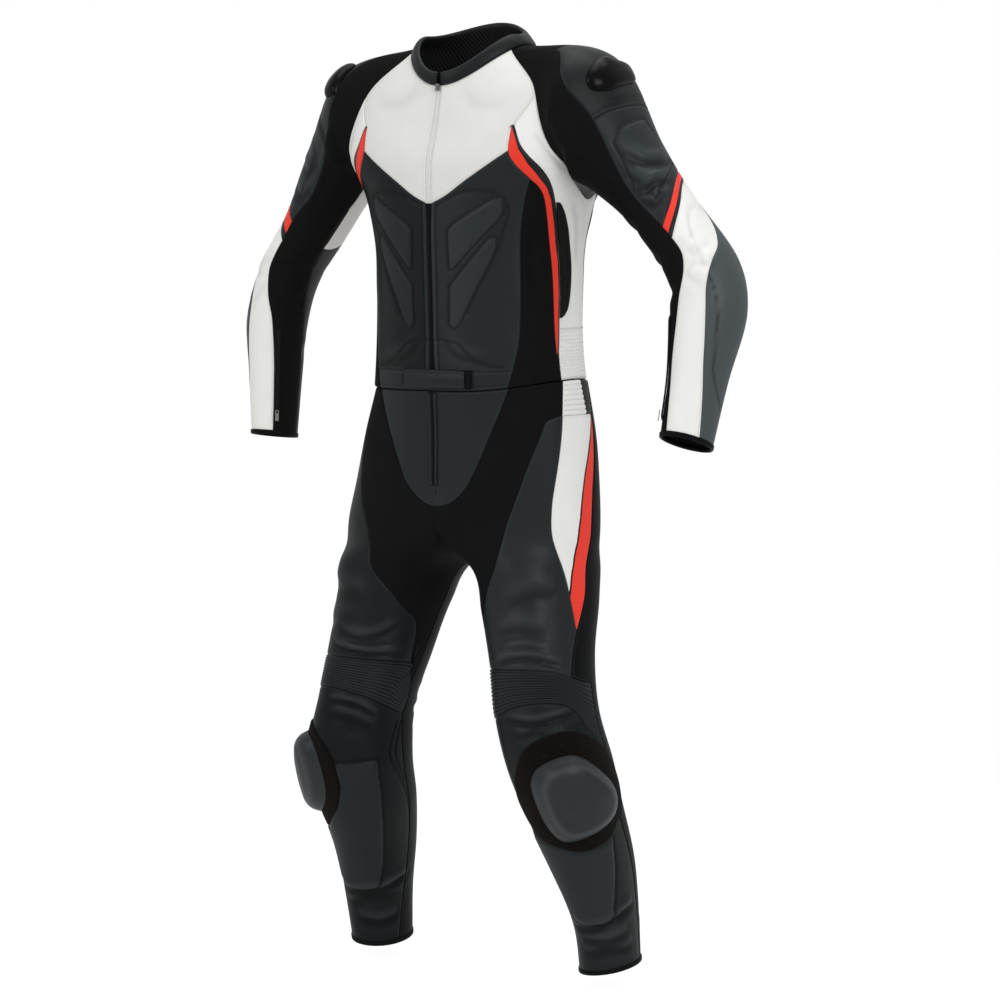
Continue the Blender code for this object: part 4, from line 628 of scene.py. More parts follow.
def edgeRuns(points, carriesOn):
    # distance from every corner to the four sides of its patch
    first, foot, second, top = carriesOn
    unsewn = first[:, None], second[:, None], top[None], foot[None]
    return np.stack([np.where(loose, farAway, far)
                     for loose, far in zip(unsewn, runs(points, 1) + runs(points, 0))], axis=2)


# ---- folds and soft unevenness ----
def softNoise(points, size, seed):
    # gentle unevenness that is the same on each run
    total = np.zeros(len(points))
    for turn in range(5):
        angle = seed * 1.7 + turn * 2.4
        direction = np.array((math.cos(angle), math.sin(angle) * 0.7, math.sin(angle * 1.3 + seed)))
        total += np.sin(points @ direction * (2 * math.pi / size) * (0.75 + 0.2 * turn) + seed * (turn + 1))
    return total / 5


def pathOnForm(form, side, path, rounded=True):
    # places along a path of angles and levels, six steps from one corner to the next
    path, corners = np.array(path, float), np.arange(len(path))
    share = np.linspace(0, len(path) - 1, 6 * (len(path) - 1) + 1)
    if rounded:
        path = smooth(corners, path, share)
    else:
        path = np.stack([np.interp(share, corners, path[:, axis]) for axis in (0, 1)], axis=1)
    return forms[form][0](side, *path.T)


def nearest(points, line):
    # how far every point is from a path, and the share of the path where it is nearest
    best, place = np.full(len(points), 9.0), np.zeros(len(points))
    for index in range(len(line) - 1):
        start, along = line[index], line[index + 1] - line[index]
        share = np.clip((points - start) @ along / (along @ along), 0, 1)
        distance = np.linalg.norm(points - start - share[:, None] * along, axis=1)
        nearer = distance < best
        best = np.where(nearer, distance, best)
        place = np.where(nearer, (index + share) / (len(line) - 1), place)
    return best, place


def foldHeight(points, form, side, path, width, depth):
    # a trough with cloth rolled over its upper side, fading out at both ends
    line = pathOnForm(form, side, path)
    best, place = nearest(points, line)
    height = np.interp(place * (len(line) - 1), range(len(line)), line[:, 2])
    above = 0.5 + 0.5 * np.tanh((points[:, 2] - height) / width)
    roll = (0.15 + 0.6 * above) * np.exp(-((best - 1.9 * width) / (1.2 * width)) ** 2)
    return -depth * (np.exp(-(best / width) ** 2) - roll) * (1 - (2 * place - 1) ** 4)


def ridge(distance, width, place=0.0):
    # 1 at a place, falling softly to 0 within about two widths of it
    return np.exp(-((distance - place) / width) ** 2)


def outlined(points, form, side, angle, level, outline):
    # which points lie inside an outline, and how far each is from it
    path = np.array(inMetres(outline + outline[:2]))
    inside = np.zeros(len(points), bool)
    for (a, b), (c, d) in zip(path[:-1], path[1:]):
        crosses = (b > level) != (d > level)
        inside ^= crosses & (angle < a + (c - a) * (level - b) / np.where(d == b, 1e-9, d - b))
    return inside, nearest(points, pathOnForm(form, side, path, False))[0]


def softStep(share):
    return share * share * (3 - 2 * share)


# where the loop pile lies on the knees, as angles and millimetres
loopOutline = {
    1: (105, 359, 80, 389, 41, 403, 8, 392, -22, 356, -40, 310, -32, 272, -8, 256, 10, 243, 34, 236,
        63, 235, 106, 262, 127, 310),
    -1: (74, 371, 40, 386, 5, 372, -25, 345, -36, 300, -22, 256, 10, 234, 45, 229, 66, 235, 92, 272,
         101, 306, 95, 345),
}


def besideLoop(points, form, side, angle, level):
    # 0 under the loop pile, 1 a little way off it
    if form != "leg":
        return 1.0
    inside, best = outlined(points, form, side, angle, level, loopOutline[side])
    return np.where(inside, 0, np.clip(best / cloth["loopEase"], 0, 1))


# width and depth in millimetres, then angles and levels; side 0 is for both sides
folds = {
    ("leg", -1): (
        (4.8, 4.4, 66, 512, 96, 508, 123, 510, 150, 516), (5.2, 3.4, 74, 537, 101, 531, 122, 542, 138, 560),
        (4.5, 2.2, 84, 524, 110, 524, 134, 530), (9, 2.2, 40, 530, 62, 552, 88, 560),
        (5, 4, 80, 426, 110, 428, 140, 414), (9, 2.6, 84, 404, 112, 404, 140, 392),
        (6, 4, 60, 124, 98, 125, 133, 129, 172, 138, 205, 146), (7.5, 3, 82, 100, 115, 118, 158, 116),
        (7, 3, 88, 78, 129, 70, 168, 83), (11, 2, 44, 604, 70, 600, 98, 588)),
    ("leg", 1): (
        (4.8, 4.6, 112, 508, 83, 513, 61, 509, 33, 493), (5.5, 2.6, 96, 524, 70, 527, 46, 514),
        (10, 2.2, 100, 548, 76, 552, 50, 542), (5, 4.4, 108, 427, 75, 416, 44, 420, 12, 431),
        (7, 2, 100, 404, 84, 398, 64, 408), (6, 4, 118, 116, 82, 107, 52, 110, 16, 122, -14, 128),
        (7.5, 3, 98, 92, 62, 83, 12, 87), (7, 2.8, 96, 66, 57, 69, 4, 63),
        (11, 2, 40, 600, 62, 606, 84, 592)),
    ("leg", 0): (
        (8, 2.6, -140, 450, -95, 442, -52, 452), (7, 2.4, -146, 425, -100, 415, -56, 421),
        (8, 2.4, -138, 400, -98, 386, -58, 394), (9, 2.2, -130, 480, -88, 490, -56, 480),
        (12, 5, -135, 690, -100, 676, -60, 690), (10, 3.6, -130, 660, -95, 645, -66, 655),
        (9, 1.4, 150, 690, 120, 706, 98, 735), (8, 1.2, 165, 668, 128, 672, 100, 692),
        (7, 3, -120, 110, -80, 100, -50, 112)),
    ("sleeve", 1): (
        (8, 3.6, 62, 180, 45, 215, 4, 222, -28, 208), (8, 3.6, 74, 222, 61, 256, 22, 256),
        (6, 2.8, 86, 256, 71, 280, 43, 272), (5, 2.2, 88, 238, 72, 262, 36, 246),
        (5, 2.2, 70, 345, 52, 352, 30, 344), (4.5, 1.8, 76, 335, 58, 336, 40, 322),
        (5, 2, 92, 390, 72, 372, 62, 350), (8, 4, 122, 96, 117, 132, 100, 170),
        (7, 3.4, 128, 60, 108, 92, 92, 120)),
    ("sleeve", -1): (
        (9, 2.8, 92, 160, 80, 190, 46, 196), (8, 2.8, 94, 200, 86, 226, 56, 226),
        (6, 4, 97, 95, 107, 46, 104, 12), (8, 3.4, 120, 110, 125, 65, 122, 28)),
    ("sleeve", 0): (
        (9, 3.4, 104, 226, 108, 188, 125, 120), (9, 4.4, 92, 364, 114, 345, 144, 312),
        (9, 4, 108, 394, 146, 407, 187, 386), (9, 4, 98, 296, 128, 284, 163, 290),
        (8, 4, 120, 330, 150, 338, 180, 330), (7, 2.2, 40, 390, 70, 348, 78, 324),
        (7, 2.2, 62, 425, 80, 400, 92, 376), (6, 2.2, 84, 368, 54, 378, 30, 368),
        (10, 3, 220, 320, 250, 345, 285, 340), (10, 3.6, 200, 100, 230, 120, 270, 110),
        (9, 2.4, 150, 470, 190, 490, 230, 480), (8, 2.2, 140, 560, 180, 575, 220, 565)),
    ("torso", 0): (
        (12, 3.6, 100, 1235, 118, 1190, 150, 1160), (12, 4.4, 112, 1010, 140, 1000, 168, 1010),
        (10, 4, 112, 970, 145, 962, 176, 972), (8, 2.6, 84, 1205, 93, 1165, 96, 1110),
        (9, 2.2, 64, 1200, 63, 1130, 65, 1060), (12, 1.4, 22, 1372, 34, 1340, 52, 1322),
        (7, 2.2, 60, 1285, 66, 1262, 76, 1240), (7, 1.6, 8, 1000, 20, 972, 42, 962),
        (14, 3.6, 110, 1290, 140, 1300, 172, 1290)),
}


def byLevel(level, *stops):
    # a value that follows the level, from pairs of level and value that run downwards
    stops = np.array(stops[::-1])
    return np.interp(level, stops[:, 0], stops[:, 1])


# padded shapes pressed into a panel, raised inside an outline with a groove along it:
# rise, ease and groove, and the outline's angles and millimetres; side 0 is for both sides
pads = {
    ("belly", 0): (
        (0.002, 0.006, 0.0017, (13.5, 1165, 18, 1176, 42, 1211, 46.5, 1210, 47.5, 1190, 44, 1176, 18, 1106,
                                 14.5, 1104)),
        (0.002, 0.006, 0.0017, (14.5, 1080, 40, 1155, 43.5, 1156, 44.5, 1138, 40, 1112, 22, 1022, 18, 1014,
                                 14, 1022))),
    ("armPad", 1): (
        (0.0028, 0.008, 0.0018, (60, 168, 40, 159, -5, 157, -29, 191, -27, 218, 10, 240, 58, 274, 76, 247)),),
    ("armPad", -1): (
        (0.0006, 0.008, 0.0008, (80, 158, 46, 154, 0, 156, -29, 190, -27, 212, 10, 222, 56, 238, 80, 236)),),
    ("shin", 1): (
        (0.0032, 0.01, 0.0022, (0, 262, 18, 192, 33, 142, 39, 125, 48, 116, 60, 113, 90, 116, 106, 124,
                                 118, 150, 124, 200, 126, 262, 112, 300, 20, 300)),),
    ("shin", -1): (
        (0.0032, 0.01, 0.0022, (148, 352, 150, 300, 147, 240, 139, 170, 134, 145, 126, 133, 100, 130,
                                 74, 131, 56, 142, 44, 200, 40, 262, 60, 330)),),
}
padEdge = 0.0019
# pressed or stitched lines: width and depth, and angles and millimetres
grooves = {
    ("belly", 0): (
        (0.0032, 0.0014, (6.5, 1204, 25, 1221, 41, 1219, 49.3, 1197, 46.7, 1157, 42.3, 1117, 34.6, 1078,
                          26.8, 1038)),
        (0.002, 0.0016, (2, 998, 10, 998, 19.4, 993, 26.2, 980, 32.5, 967, 40, 959, 47.4, 957))),
    ("shin", 1): (
        (0.002, 0.0016, (92, 372, 67, 397, 42, 408, 10, 412)),
        (0.002, 0.0016, (88, 365, 66, 390, 42, 401, 8, 405))),
    ("shin", -1): (
        (0.002, 0.0016, (172, 410, 165, 381, 163, 354, 182, 310, 196, 256, 196, 171, 182, 100)),
        (0.002, 0.0016, (180, 410, 174, 381, 172, 354, 187, 316))),
    ("forearmOuter", 0): ((0.0018, 0.0014, (55, 392, 46, 438, 37, 489, 28, 531, 8, 556, -16, 576)),),
    ("forearmFront", 0): ((0.003, 0.001, (57, 372, 50, 328, 28, 303, 2, 293, -30, 298)),),
}
ribCount = 13      # ribs on each knee band
ribPitch = 0.0058  # from rib to rib of the elastic waist


def ribs(share, height):
    return height * (2 * np.abs(np.sin(math.pi * share)) ** 0.55 - 1)


def ribShare(edges):
    # how many ribs down a knee band a place is
    return ribCount * (edges[:, 2] / np.maximum(edges[:, 2] + edges[:, 3], 1e-6))


def sideRibs(angle, level, edges):
    elastic = np.clip((1.014 - level) / 0.002, 0, 1) * np.clip((107 - angle) / 1.5, 0, 1)
    return elastic * ribs((level - 0.9) / ribPitch, 0.0011) - 0.0016 * ridge(level, 0.0018, 1.015)


# heights that follow an edge of the panel or its level
reliefs = {
    "belly": lambda angle, level, edges: 0.0016 * (ridge(edges[:, 0], 0.0028, 0.0045)
                                                   - ridge(edges[:, 0], 0.0014, 0.0092)),
    "shoulderCap": lambda angle, level, edges: (-0.0016 * ridge(edges[:, 3], 0.0016, 0.0085)
                                                - 0.0012 * ridge(edges[:, 3], 0.0016, 0.0165)),
    "kneeRib": lambda angle, level, edges: ribs(ribShare(edges), 0.0013),
    "waistRib": lambda angle, level, edges: ribs((level - 0.88) / ribPitch, 0.0011),
    "sidePanel": sideRibs,
    "hemBand": lambda angle, level, edges: -0.0008 * ridge(level, 0.0014, 0.9265),
}
ribbed = {"kneeRib", "waistRib"}     # no folds: ribs run right up to the seams
foldDepth = {"forearmFront": 0.6, "sleeveStretch": 0.45, "sleeveBack": 0.5, "legStretch": 0.7}


def bothSides(table, kind, side):
    return table.get((kind, 0), ()) + table.get((kind, side), ())


def pressedHeight(kind, form, side, angle, level, points, edges):
    # everything pressed into one panel
    total = np.zeros(len(points))
    for rise, ease, groove, outline in bothSides(pads, kind, side):
        inside, best = outlined(points, form, side, angle, level, outline)
        total += rise * softStep(np.clip(best / ease, 0, 1) * inside) - groove * ridge(best, padEdge)
    for width, depth, path in bothSides(grooves, kind, side):
        total -= depth * ridge(nearest(points, pathOnForm(form, side, inMetres(path)))[0], width)
    return total + reliefs[kind](angle, level, edges) if kind in reliefs else total


def thighStripeLines(side, angle, level, edges):
    # white in front of the first line, red behind it; the second line is the piping between them
    border = byLevel(level, (0.88, 0.944), (0.842, 0.79), (0.8, 0.69), (0.762, 0.66), (0.728, 0.635),
                     (0.69, 0.566), (0.65, 0.405), (0.612, 0.085), (0.6, -0.05), (0.54, -0.4))
    red = edges[:, 0] - border * (edges[:, 0] + edges[:, 1])
    return red, np.abs(red) - 0.002


def chestStripeLines(side, angle, level, edges):
    outer = byLevel(level, (1.299, 51.2), (1.27, 53.2), (1.251, 57), (1.232, 63), (1.221, 67), (1.206, 70.2),
                    (1.168, 74.8), (1.12, 79), (1.07, 79.9), (1.015, 79.2), (0.975, 78.2))
    return ((outer - angle) * 0.003,)


def sleeveBackLines(side, angle, level, edges):
    # white above the first line
    foot = np.interp(angle, (150, 180, 235, 300), (0.286, 0.284, 0.272, 0.225))
    head = np.interp(angle, (150, 176, 235, 300), (0.15, 0.15, 0.12, 0.15))
    white = np.minimum(foot - level, level - head)
    if side == -1:
        inner = np.interp(level, (0.165, 0.207, 0.244, 0.289), (173.3, 164.8, 163.8, 160))
        white = np.minimum(white, (angle - inner) * 0.001)
    return (white,)


# distances from the borders between the colours of a panel
markings = {
    "thighStripe": thighStripeLines, "chestStripe": chestStripeLines, "sleeveBack": sleeveBackLines,
    "armStripe": lambda side, angle, level, edges: (0.6 * (edges[:, 2] + edges[:, 3]) - edges[:, 2],),
    "waistRib": lambda side, angle, level, edges: (
        (angle - byLevel(level, (0.92, -3.5), (0.9, -4.5), (0.88, -6.0))) * 0.003,),
    "kneeRib": lambda side, angle, level, edges: (
        (np.abs(np.sin(math.pi * ribShare(edges))) - 0.35) * 0.0012,),
}


def clothRelief(kind, form, side, angle, level, points, edges):
    # how far the cloth stands out, and its painted shade from -1 to 1: darker in fold troughs and pressed
    # lines, and below 0 a painted highlight where the cloth stands out
    depth, size = cloth["uneven"]
    total = depth * softNoise(points, size, 1 + side)
    if kind not in ribbed:
        for width, depth, *path in bothSides(folds, form, side):
            depth *= foldDepth.get(kind, 1.1)
            total = total + foldHeight(points, form, side, inMetres(path), width / 1000, depth / 1000)
    total = total * softStep(np.clip(edges.min(axis=1) / cloth["foldEase"], 0, 1))
    pressed = pressedHeight(kind, form, side, angle, level, points, edges)
    pressed *= np.clip(edges.min(axis=1) / cloth["pressEase"], 0, 1)
    folded, lined = cloth["darkest"]
    # painted shade in troughs and pressed lines, turning to a painted highlight where the cloth stands out
    paintedShade = -total / folded - np.minimum(pressed, lined / 2) / lined
    beside = besideLoop(points, form, side, angle, level)
    return (total + pressed) * beside, np.clip(paintedShade, -1, 1) * beside


# ---- sewn panels ----
kept = ("sides", "ends", "lines")       # numbers kept at each corner for the materials


def newCloth():
    made = bmesh.new()
    for name in kept:
        made.verts.layers.float_vector.new(name)
    return made


def gridOfCloth(made, rows, columns):
    # a new grid, as pairs of a corner and its place in a list that runs row by row
    corners = bmesh.ops.create_grid(made, x_segments=columns - 1, y_segments=rows - 1, size=1)["verts"]
    across, down = (columns - 1) / 2, (rows - 1) / 2
    return [(vert, round((1 - vert.co.y) * down) * columns + round((vert.co.x + 1) * across))
            for vert in corners]


def sewnPanel(kind, form, side, seams, patches, into=None):
    # cloth laid over the worn shape between its seams
    made = into or newCloth()
    keep = [made.verts.layers.float_vector[name] for name in kept]
    for patch in patches.split("; "):
        net, carriesOn = clothNet(kind, form, side, seams, chainsOf(patch))
        rows, columns = net.shape[:2]
        angle, level = net.reshape(-1, 2).T
        points, away = surface(form, side, angle, level)
        edges = edgeRuns(points.reshape(rows, columns, 3), carriesOn).reshape(-1, 4)
        height, paintedShade = clothRelief(kind, form, side, angle, level, points, edges)
        turned = np.clip(edges.min(axis=1) / cloth["turnWidth"], 0, 1)
        places = points + away * (height - cloth["turnIn"] * (1 - turned) ** 2)[:, None]
        places = places - (0, 0, figure["held"])
        lines = np.zeros((len(points), 3))
        if kind in markings:
            for column, line in enumerate(markings[kind](side, angle, level, edges)):
                lines[:, column] = line
        # the third kept number carries the painted shade and highlight to the leather
        lines[:, 2] = paintedShade
        corners = gridOfCloth(made, rows, columns)
        for vert, spot in corners:
            for layer, numbers in zip(keep, ((*edges[spot, :2], 0), (*edges[spot, 2:], 0), lines[spot])):
                vert[layer] = numbers
            vert.co = places[spot]
            vert.index = spot
        faces = list({face for vert, spot in corners for face in vert.link_faces})
        middle = max(faces, key=lambda face: face.calc_area())
        middle.normal_update()
        if middle.normal.dot(Vector(away[middle.verts[0].index])) < 0:
            bmesh.ops.reverse_faces(made, faces=faces)
    return made


def hangPiece(name, made, materials, nodes, wall=0.0, lined=False):
    # a finished mesh from a bmesh, hung on the suit and standing for solids
    for face in made.faces:
        face.smooth = True
    if lined:
        for edge in made.edges:
            edge.smooth = not edge.is_boundary
    mesh = bpy.data.meshes.new(name)
    made.to_mesh(mesh)
    made.free()
    piece = bpy.data.objects.new(name, mesh)
    bpy.context.scene.collection.objects.link(piece)
    for material in materials:
        mesh.materials.append(material)
    if wall:
        solid = piece.modifiers.new("wall", "SOLIDIFY")
        solid.thickness, solid.offset = wall, -1
        solid.material_offset = int(lined)
        solid.use_quality_normals = True
    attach(piece, "suit")
    if nodes:
        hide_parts(*nodes)
    return piece


def weld(made, near, sliver):
    bmesh.ops.remove_doubles(made, verts=made.verts, dist=near)
    bmesh.ops.dissolve_degenerate(made, dist=sliver, edges=made.edges)


# ---- shader tools ----
class Shade:
    # a shader socket that can be used in sums
    def __init__(self, graph, socket):
        self.graph, self.socket = graph, socket

    def math(self, operation, other=0.0):
        return self.graph.node("Math", {"operation": operation}, {0: self, 1: other})

    def __add__(self, other):
        return self.math("ADD", other)

    def __sub__(self, other):
        return self.math("SUBTRACT", other)

    def __rsub__(self, other):
        return -self + other

    def __mul__(self, other):
        return self.math("MULTIPLY", other)

    def __truediv__(self, other):
        return self.math("DIVIDE", other)

    def __neg__(self):
        return self * -1.0

    __radd__ = __add__

    def size(self):
        return self.math("ABSOLUTE")

    def below(self, limit, soft=0.0004):
        # 1 where the value is under the limit, 0 where it is over, with a narrow soft edge
        return self.graph.clamp((limit - self) / soft + 0.5)

    def wave(self, length):
        # runs from 0 up to 1 and back once in each length
        return (self / (length / 2)).math("PINGPONG", 1.0)

    def least(self, other):
        return self.math("MINIMUM", other)


class Graph:
    # a material and the nodes in it
    def __init__(self, name):
        self.material = bpy.data.materials.new(name)
        self.material.use_nodes = True
        self.tree = self.material.node_tree
        self.shader = self.tree.nodes["Principled BSDF"]

    def node(self, kind, settings=None, inputs=None, output=0):
        made = self.tree.nodes.new("ShaderNode" + kind)
        for key, value in (settings or {}).items():
            setattr(made, key, value)
        for key, value in (inputs or {}).items():
            self.give(made.inputs[key], value)
        return Shade(self, made.outputs[output])

    def give(self, socket, value):
        if isinstance(value, Shade):
            self.tree.links.new(value.socket, socket)
        else:
            socket.default_value = value

    def parts(self, name):
        # the three numbers kept under a name at each corner of the cloth
        stored = self.node("Attribute", {"attribute_name": name}, output="Vector")
        split = self.tree.nodes.new("ShaderNodeSeparateXYZ")
        self.give(split.inputs[0], stored)
        return [Shade(self, split.outputs[index]) for index in range(3)]

    def place(self):
        return self.node("TexCoord", output="Object")

    def noise(self, scale, detail=2.0, rough=0.5):
        return self.pattern("TexNoise", {}, Scale=scale, Detail=detail, Roughness=rough)

    def cells(self, scale, randomness, feature="F1"):
        return self.pattern("TexVoronoi", {"feature": feature}, Scale=scale, Randomness=randomness)

    def weave(self, scale, distortion):
        return self.pattern("TexWave", {"wave_type": "BANDS", "bands_direction": "DIAGONAL"}, Scale=scale,
                            Distortion=distortion)

    def pattern(self, kind, settings, **inputs):
        return self.node(kind, settings, {"Vector": self.place(), **inputs})

    def clamp(self, value):
        return self.node("Clamp", {}, {0: value})

    def mix(self, share, first, second):
        inputs = {0: share, 6: first, 7: second}
        return self.node("Mix", {"data_type": "RGBA"}, inputs, output=2)

    def bump(self, height, distance, strength=1.0):
        return self.node("Bump", {}, {"Height": height, "Distance": distance, "Strength": strength})

    def finish(self, tint, roughness, **sockets):
        for key, value in {"Base_Color": tint, "Roughness": roughness, **sockets}.items():
            self.give(self.shader.inputs[key.replace("_", " ")], value)
        return self.material


def colour(red, green, blue):
    # a paint colour from the 0 to 255 numbers of a colour picker
    def plain(part):
        part = part / 255
        return part / 12.92 if part <= 0.04045 else ((part + 0.055) / 1.055) ** 2.4
    return (plain(red), plain(green), plain(blue), 1.0)


# ---- leather and cloth ----
leatherLook = {
    "white": colour(237, 237, 233),
    # bright is a lighter copy of the white leather: painted light on the white panels that catch more light
    "bright": colour(251, 251, 247),
    "charcoal": colour(35, 40, 41),
    # shade and deep are darker copies of the charcoal leather, painted shade for panels on the darker side of
    # the light; deep is also the knee ribs' colour
    "shade": colour(25, 29, 30),
    "deep": colour(25, 28, 29),
    "black": colour(17, 18, 19),
    # gap: near-black in the fly slit, the dark zip beneath with painted shade in the gap between the welts
    "gap": colour(5, 5, 6),
    "cap": colour(29, 32, 33),
    # grey: the forearm leather and the thread, and also the painted highlight on ridges
    "grey": colour(75, 81, 84),
    # dark: random tone, the seam lines, and the painted shade in troughs and pressed lines
    "dark": colour(17, 18, 19),
    "red": colour(255, 62, 44),
    "piping": colour(24, 26, 28),
    "sheen": {"white": 0.25, "bright": 0.25, "red": 0.25, "grey": 0.24, "black": 0.04, "deep": 0.06,
              "shade": 0.12},      # shine, 0.16 unless named
    "pores": 900.0,          # per metre
    "creases": 26.0,
    "stitchIn": 0.0034,      # from the seam to its row of stitches
    "stitchLong": 0.0034,
    "seamWidth": 0.0007,     # how far the shadow of a seam reaches
    "thread": 0.0004,
}


def stitchRows(graph, sides, ends):
    # 1 on the thread of the rows that run beside each seam
    rows = None
    upAndDown, across = (ends[0] - ends[1]) * 0.5, (sides[0] - sides[1]) * 0.5
    for distance, along in zip((*sides[:2], *ends[:2]), (upAndDown, upAndDown, across, across)):
        line = (distance - leatherLook["stitchIn"]).size().below(leatherLook["thread"], 0.0003)
        row = line * along.wave(leatherLook["stitchLong"]).below(0.62, 0.2)
        rows = rows.math("MAXIMUM", row) if rows else row
    return rows


def leather(name, main, second=None, third=None, roughness=0.4, stitched=0.42, seam=0.8, dent=0.62,
            rub=0.36):
    # grained leather; second and third colours lie past the first and second kept lines, and the third kept
    # number is painted shade in troughs and pressed lines (or, if negative, a painted highlight on ridges)
    graph = Graph(name)
    sides, ends, lines = graph.parts("sides"), graph.parts("ends"), graph.parts("lines")
    tint = leatherLook[main]
    if second:
        tint = graph.mix(lines[0].below(0.0), tint, leatherLook[second])
    if third:
        tint = graph.mix(lines[1].below(0.0), tint, leatherLook[third])
    cloudy = graph.noise(leatherLook["creases"], 3.0)
    pores = graph.cells(leatherLook["pores"], 0.9, "DISTANCE_TO_EDGE")
    rise = pores * 0.25 + graph.noise(leatherLook["creases"] * 6, 3.0) * 0.55
    normal = graph.bump(rise, 0.0005, 0.55)
    paintedLight = graph.mix(cloudy * 0.08, tint, leatherLook["dark"])
    # painted shade: darker in fold troughs and pressed lines
    paintedLight = graph.mix(graph.clamp(lines[2]) * dent, paintedLight, leatherLook["dark"])
    # painted highlight: lighter grey where the leather stands out on ridges
    if rub:
        paintedLight = graph.mix(graph.clamp(-lines[2]) * rub, paintedLight, leatherLook["grey"])
    if stitched:
        rows = stitchRows(graph, sides, ends)
        paintedLight = graph.mix(rows * stitched, paintedLight, leatherLook["grey"])
        soft = graph.bump(rows, 0.0006, 0.6)
        graph.give(soft.socket.node.inputs["Normal"], normal)
        normal = soft
        nearSeam = sides[0].least(sides[1]).least(ends[0]).least(ends[1])
        paintedLight = graph.mix(nearSeam.below(leatherLook["seamWidth"], 0.001) * seam, paintedLight, leatherLook["dark"])
    return graph.finish(paintedLight, cloudy * 0.16 + (roughness - 0.08), Normal=normal,
                        Specular_IOR_Level=leatherLook["sheen"].get(main, 0.16))


def stretchCloth(name):
    graph = Graph(name)
    weave = graph.weave(260.0, 1.0)
    cloudy = graph.noise(30.0, 3.0)
    tint = graph.mix(cloudy * 0.5, colour(17, 17, 18), colour(26, 26, 27))
    return graph.finish(tint, cloudy * 0.1 + 0.68, Normal=graph.bump(weave, 0.0004, 0.5),
                        Specular_IOR_Level=0.05, Sheen_Weight=0.01, Sheen_Roughness=0.4)


def meshCloth(name):
    graph = Graph(name)
    holes = graph.cells(420.0, 0.1)
    tint = graph.mix(holes.below(0.35, 0.1), colour(26, 27, 28), colour(8, 8, 8))
    return graph.finish(tint, 0.8, Specular_IOR_Level=0.1,
                        Normal=graph.bump(holes, 0.0004, 0.6))


def loopPile(name):
    graph = Graph(name)
    pile = graph.noise(900.0, 3.0, 0.8)
    clumps = graph.noise(120.0, 3.0, 0.6)
    lines = graph.parts("lines")
    tint = graph.mix(clumps * 0.6, colour(13, 11, 9), colour(26, 22, 19))
    tint = graph.mix(lines[1].below(0.0005, 0.0003) * 0.5, tint, leatherLook["grey"])
    return graph.finish(tint, clumps * 0.1 + 0.86, Normal=graph.bump(pile, 0.0012, 0.9),
                        Specular_IOR_Level=0.05, Sheen_Weight=0.03, Sheen_Roughness=0.5)


def mouldedPlastic(name, main, edge, roughness, shine):
    # moulded plastic with a fine haze, fine scuffs, and a painted highlight in the edge colour along its
    # raised rim
    graph = Graph(name)
    lines = graph.parts("lines")
    haze = graph.noise(60.0, 4.0, 0.6)
    scuff = graph.noise(240.0, 3.0, 0.7)
    # painted highlight: the edge colour along the raised rim
    paintedLight = graph.mix(lines[0] * 0.7, main, edge)
    tint = graph.mix(haze * 0.25, paintedLight, edge)
    return graph.finish(tint, haze * 0.14 + scuff * 0.05 + roughness, Specular_IOR_Level=shine,
                        Normal=graph.bump(scuff, 0.0002, 0.35))


def zipCloth(name):
    # woven tape with a closed row of teeth along its middle; lines hold the distance across and along
    graph = Graph(name)
    lines = graph.parts("lines")
    teeth = lines[0].size().below(0.0013, 0.0002) * lines[1].wave(0.0022).below(0.55, 0.2)
    weave = graph.weave(420.0, 0.5)
    tint = graph.mix(teeth, colour(16, 16, 17), colour(46, 46, 48))
    return graph.finish(tint, 0.62 - teeth * 0.25, Specular_IOR_Level=0.15,
                        Normal=graph.bump(teeth + weave * 0.15, 0.001, 0.8))


def zipMetal(name):
    graph = Graph(name)
    brushed = graph.noise(700.0)
    rubbed = graph.noise(300.0, 3.0)
    tint = graph.mix(rubbed, colour(96, 95, 93), colour(142, 141, 139))
    return graph.finish(tint, brushed * 0.2 + 0.26, Metallic=1.0,
                        Normal=graph.bump(brushed, 0.0001, 0.3))


def ribbedMesh(name):
    # the spacer mesh inside the collar, with ribs that slope
    graph = Graph(name)
    lines = graph.parts("lines")
    rib = lines[0].wave(0.0052)
    holes = graph.cells(520.0, 0.15)
    tint = graph.mix(rib, colour(11, 11, 12), colour(38, 38, 40))
    return graph.finish(tint, 0.78 + holes * 0.1, Specular_IOR_Level=0.1,
                        Normal=graph.bump(rib * 0.8 + holes * 0.3, 0.0014, 0.9))


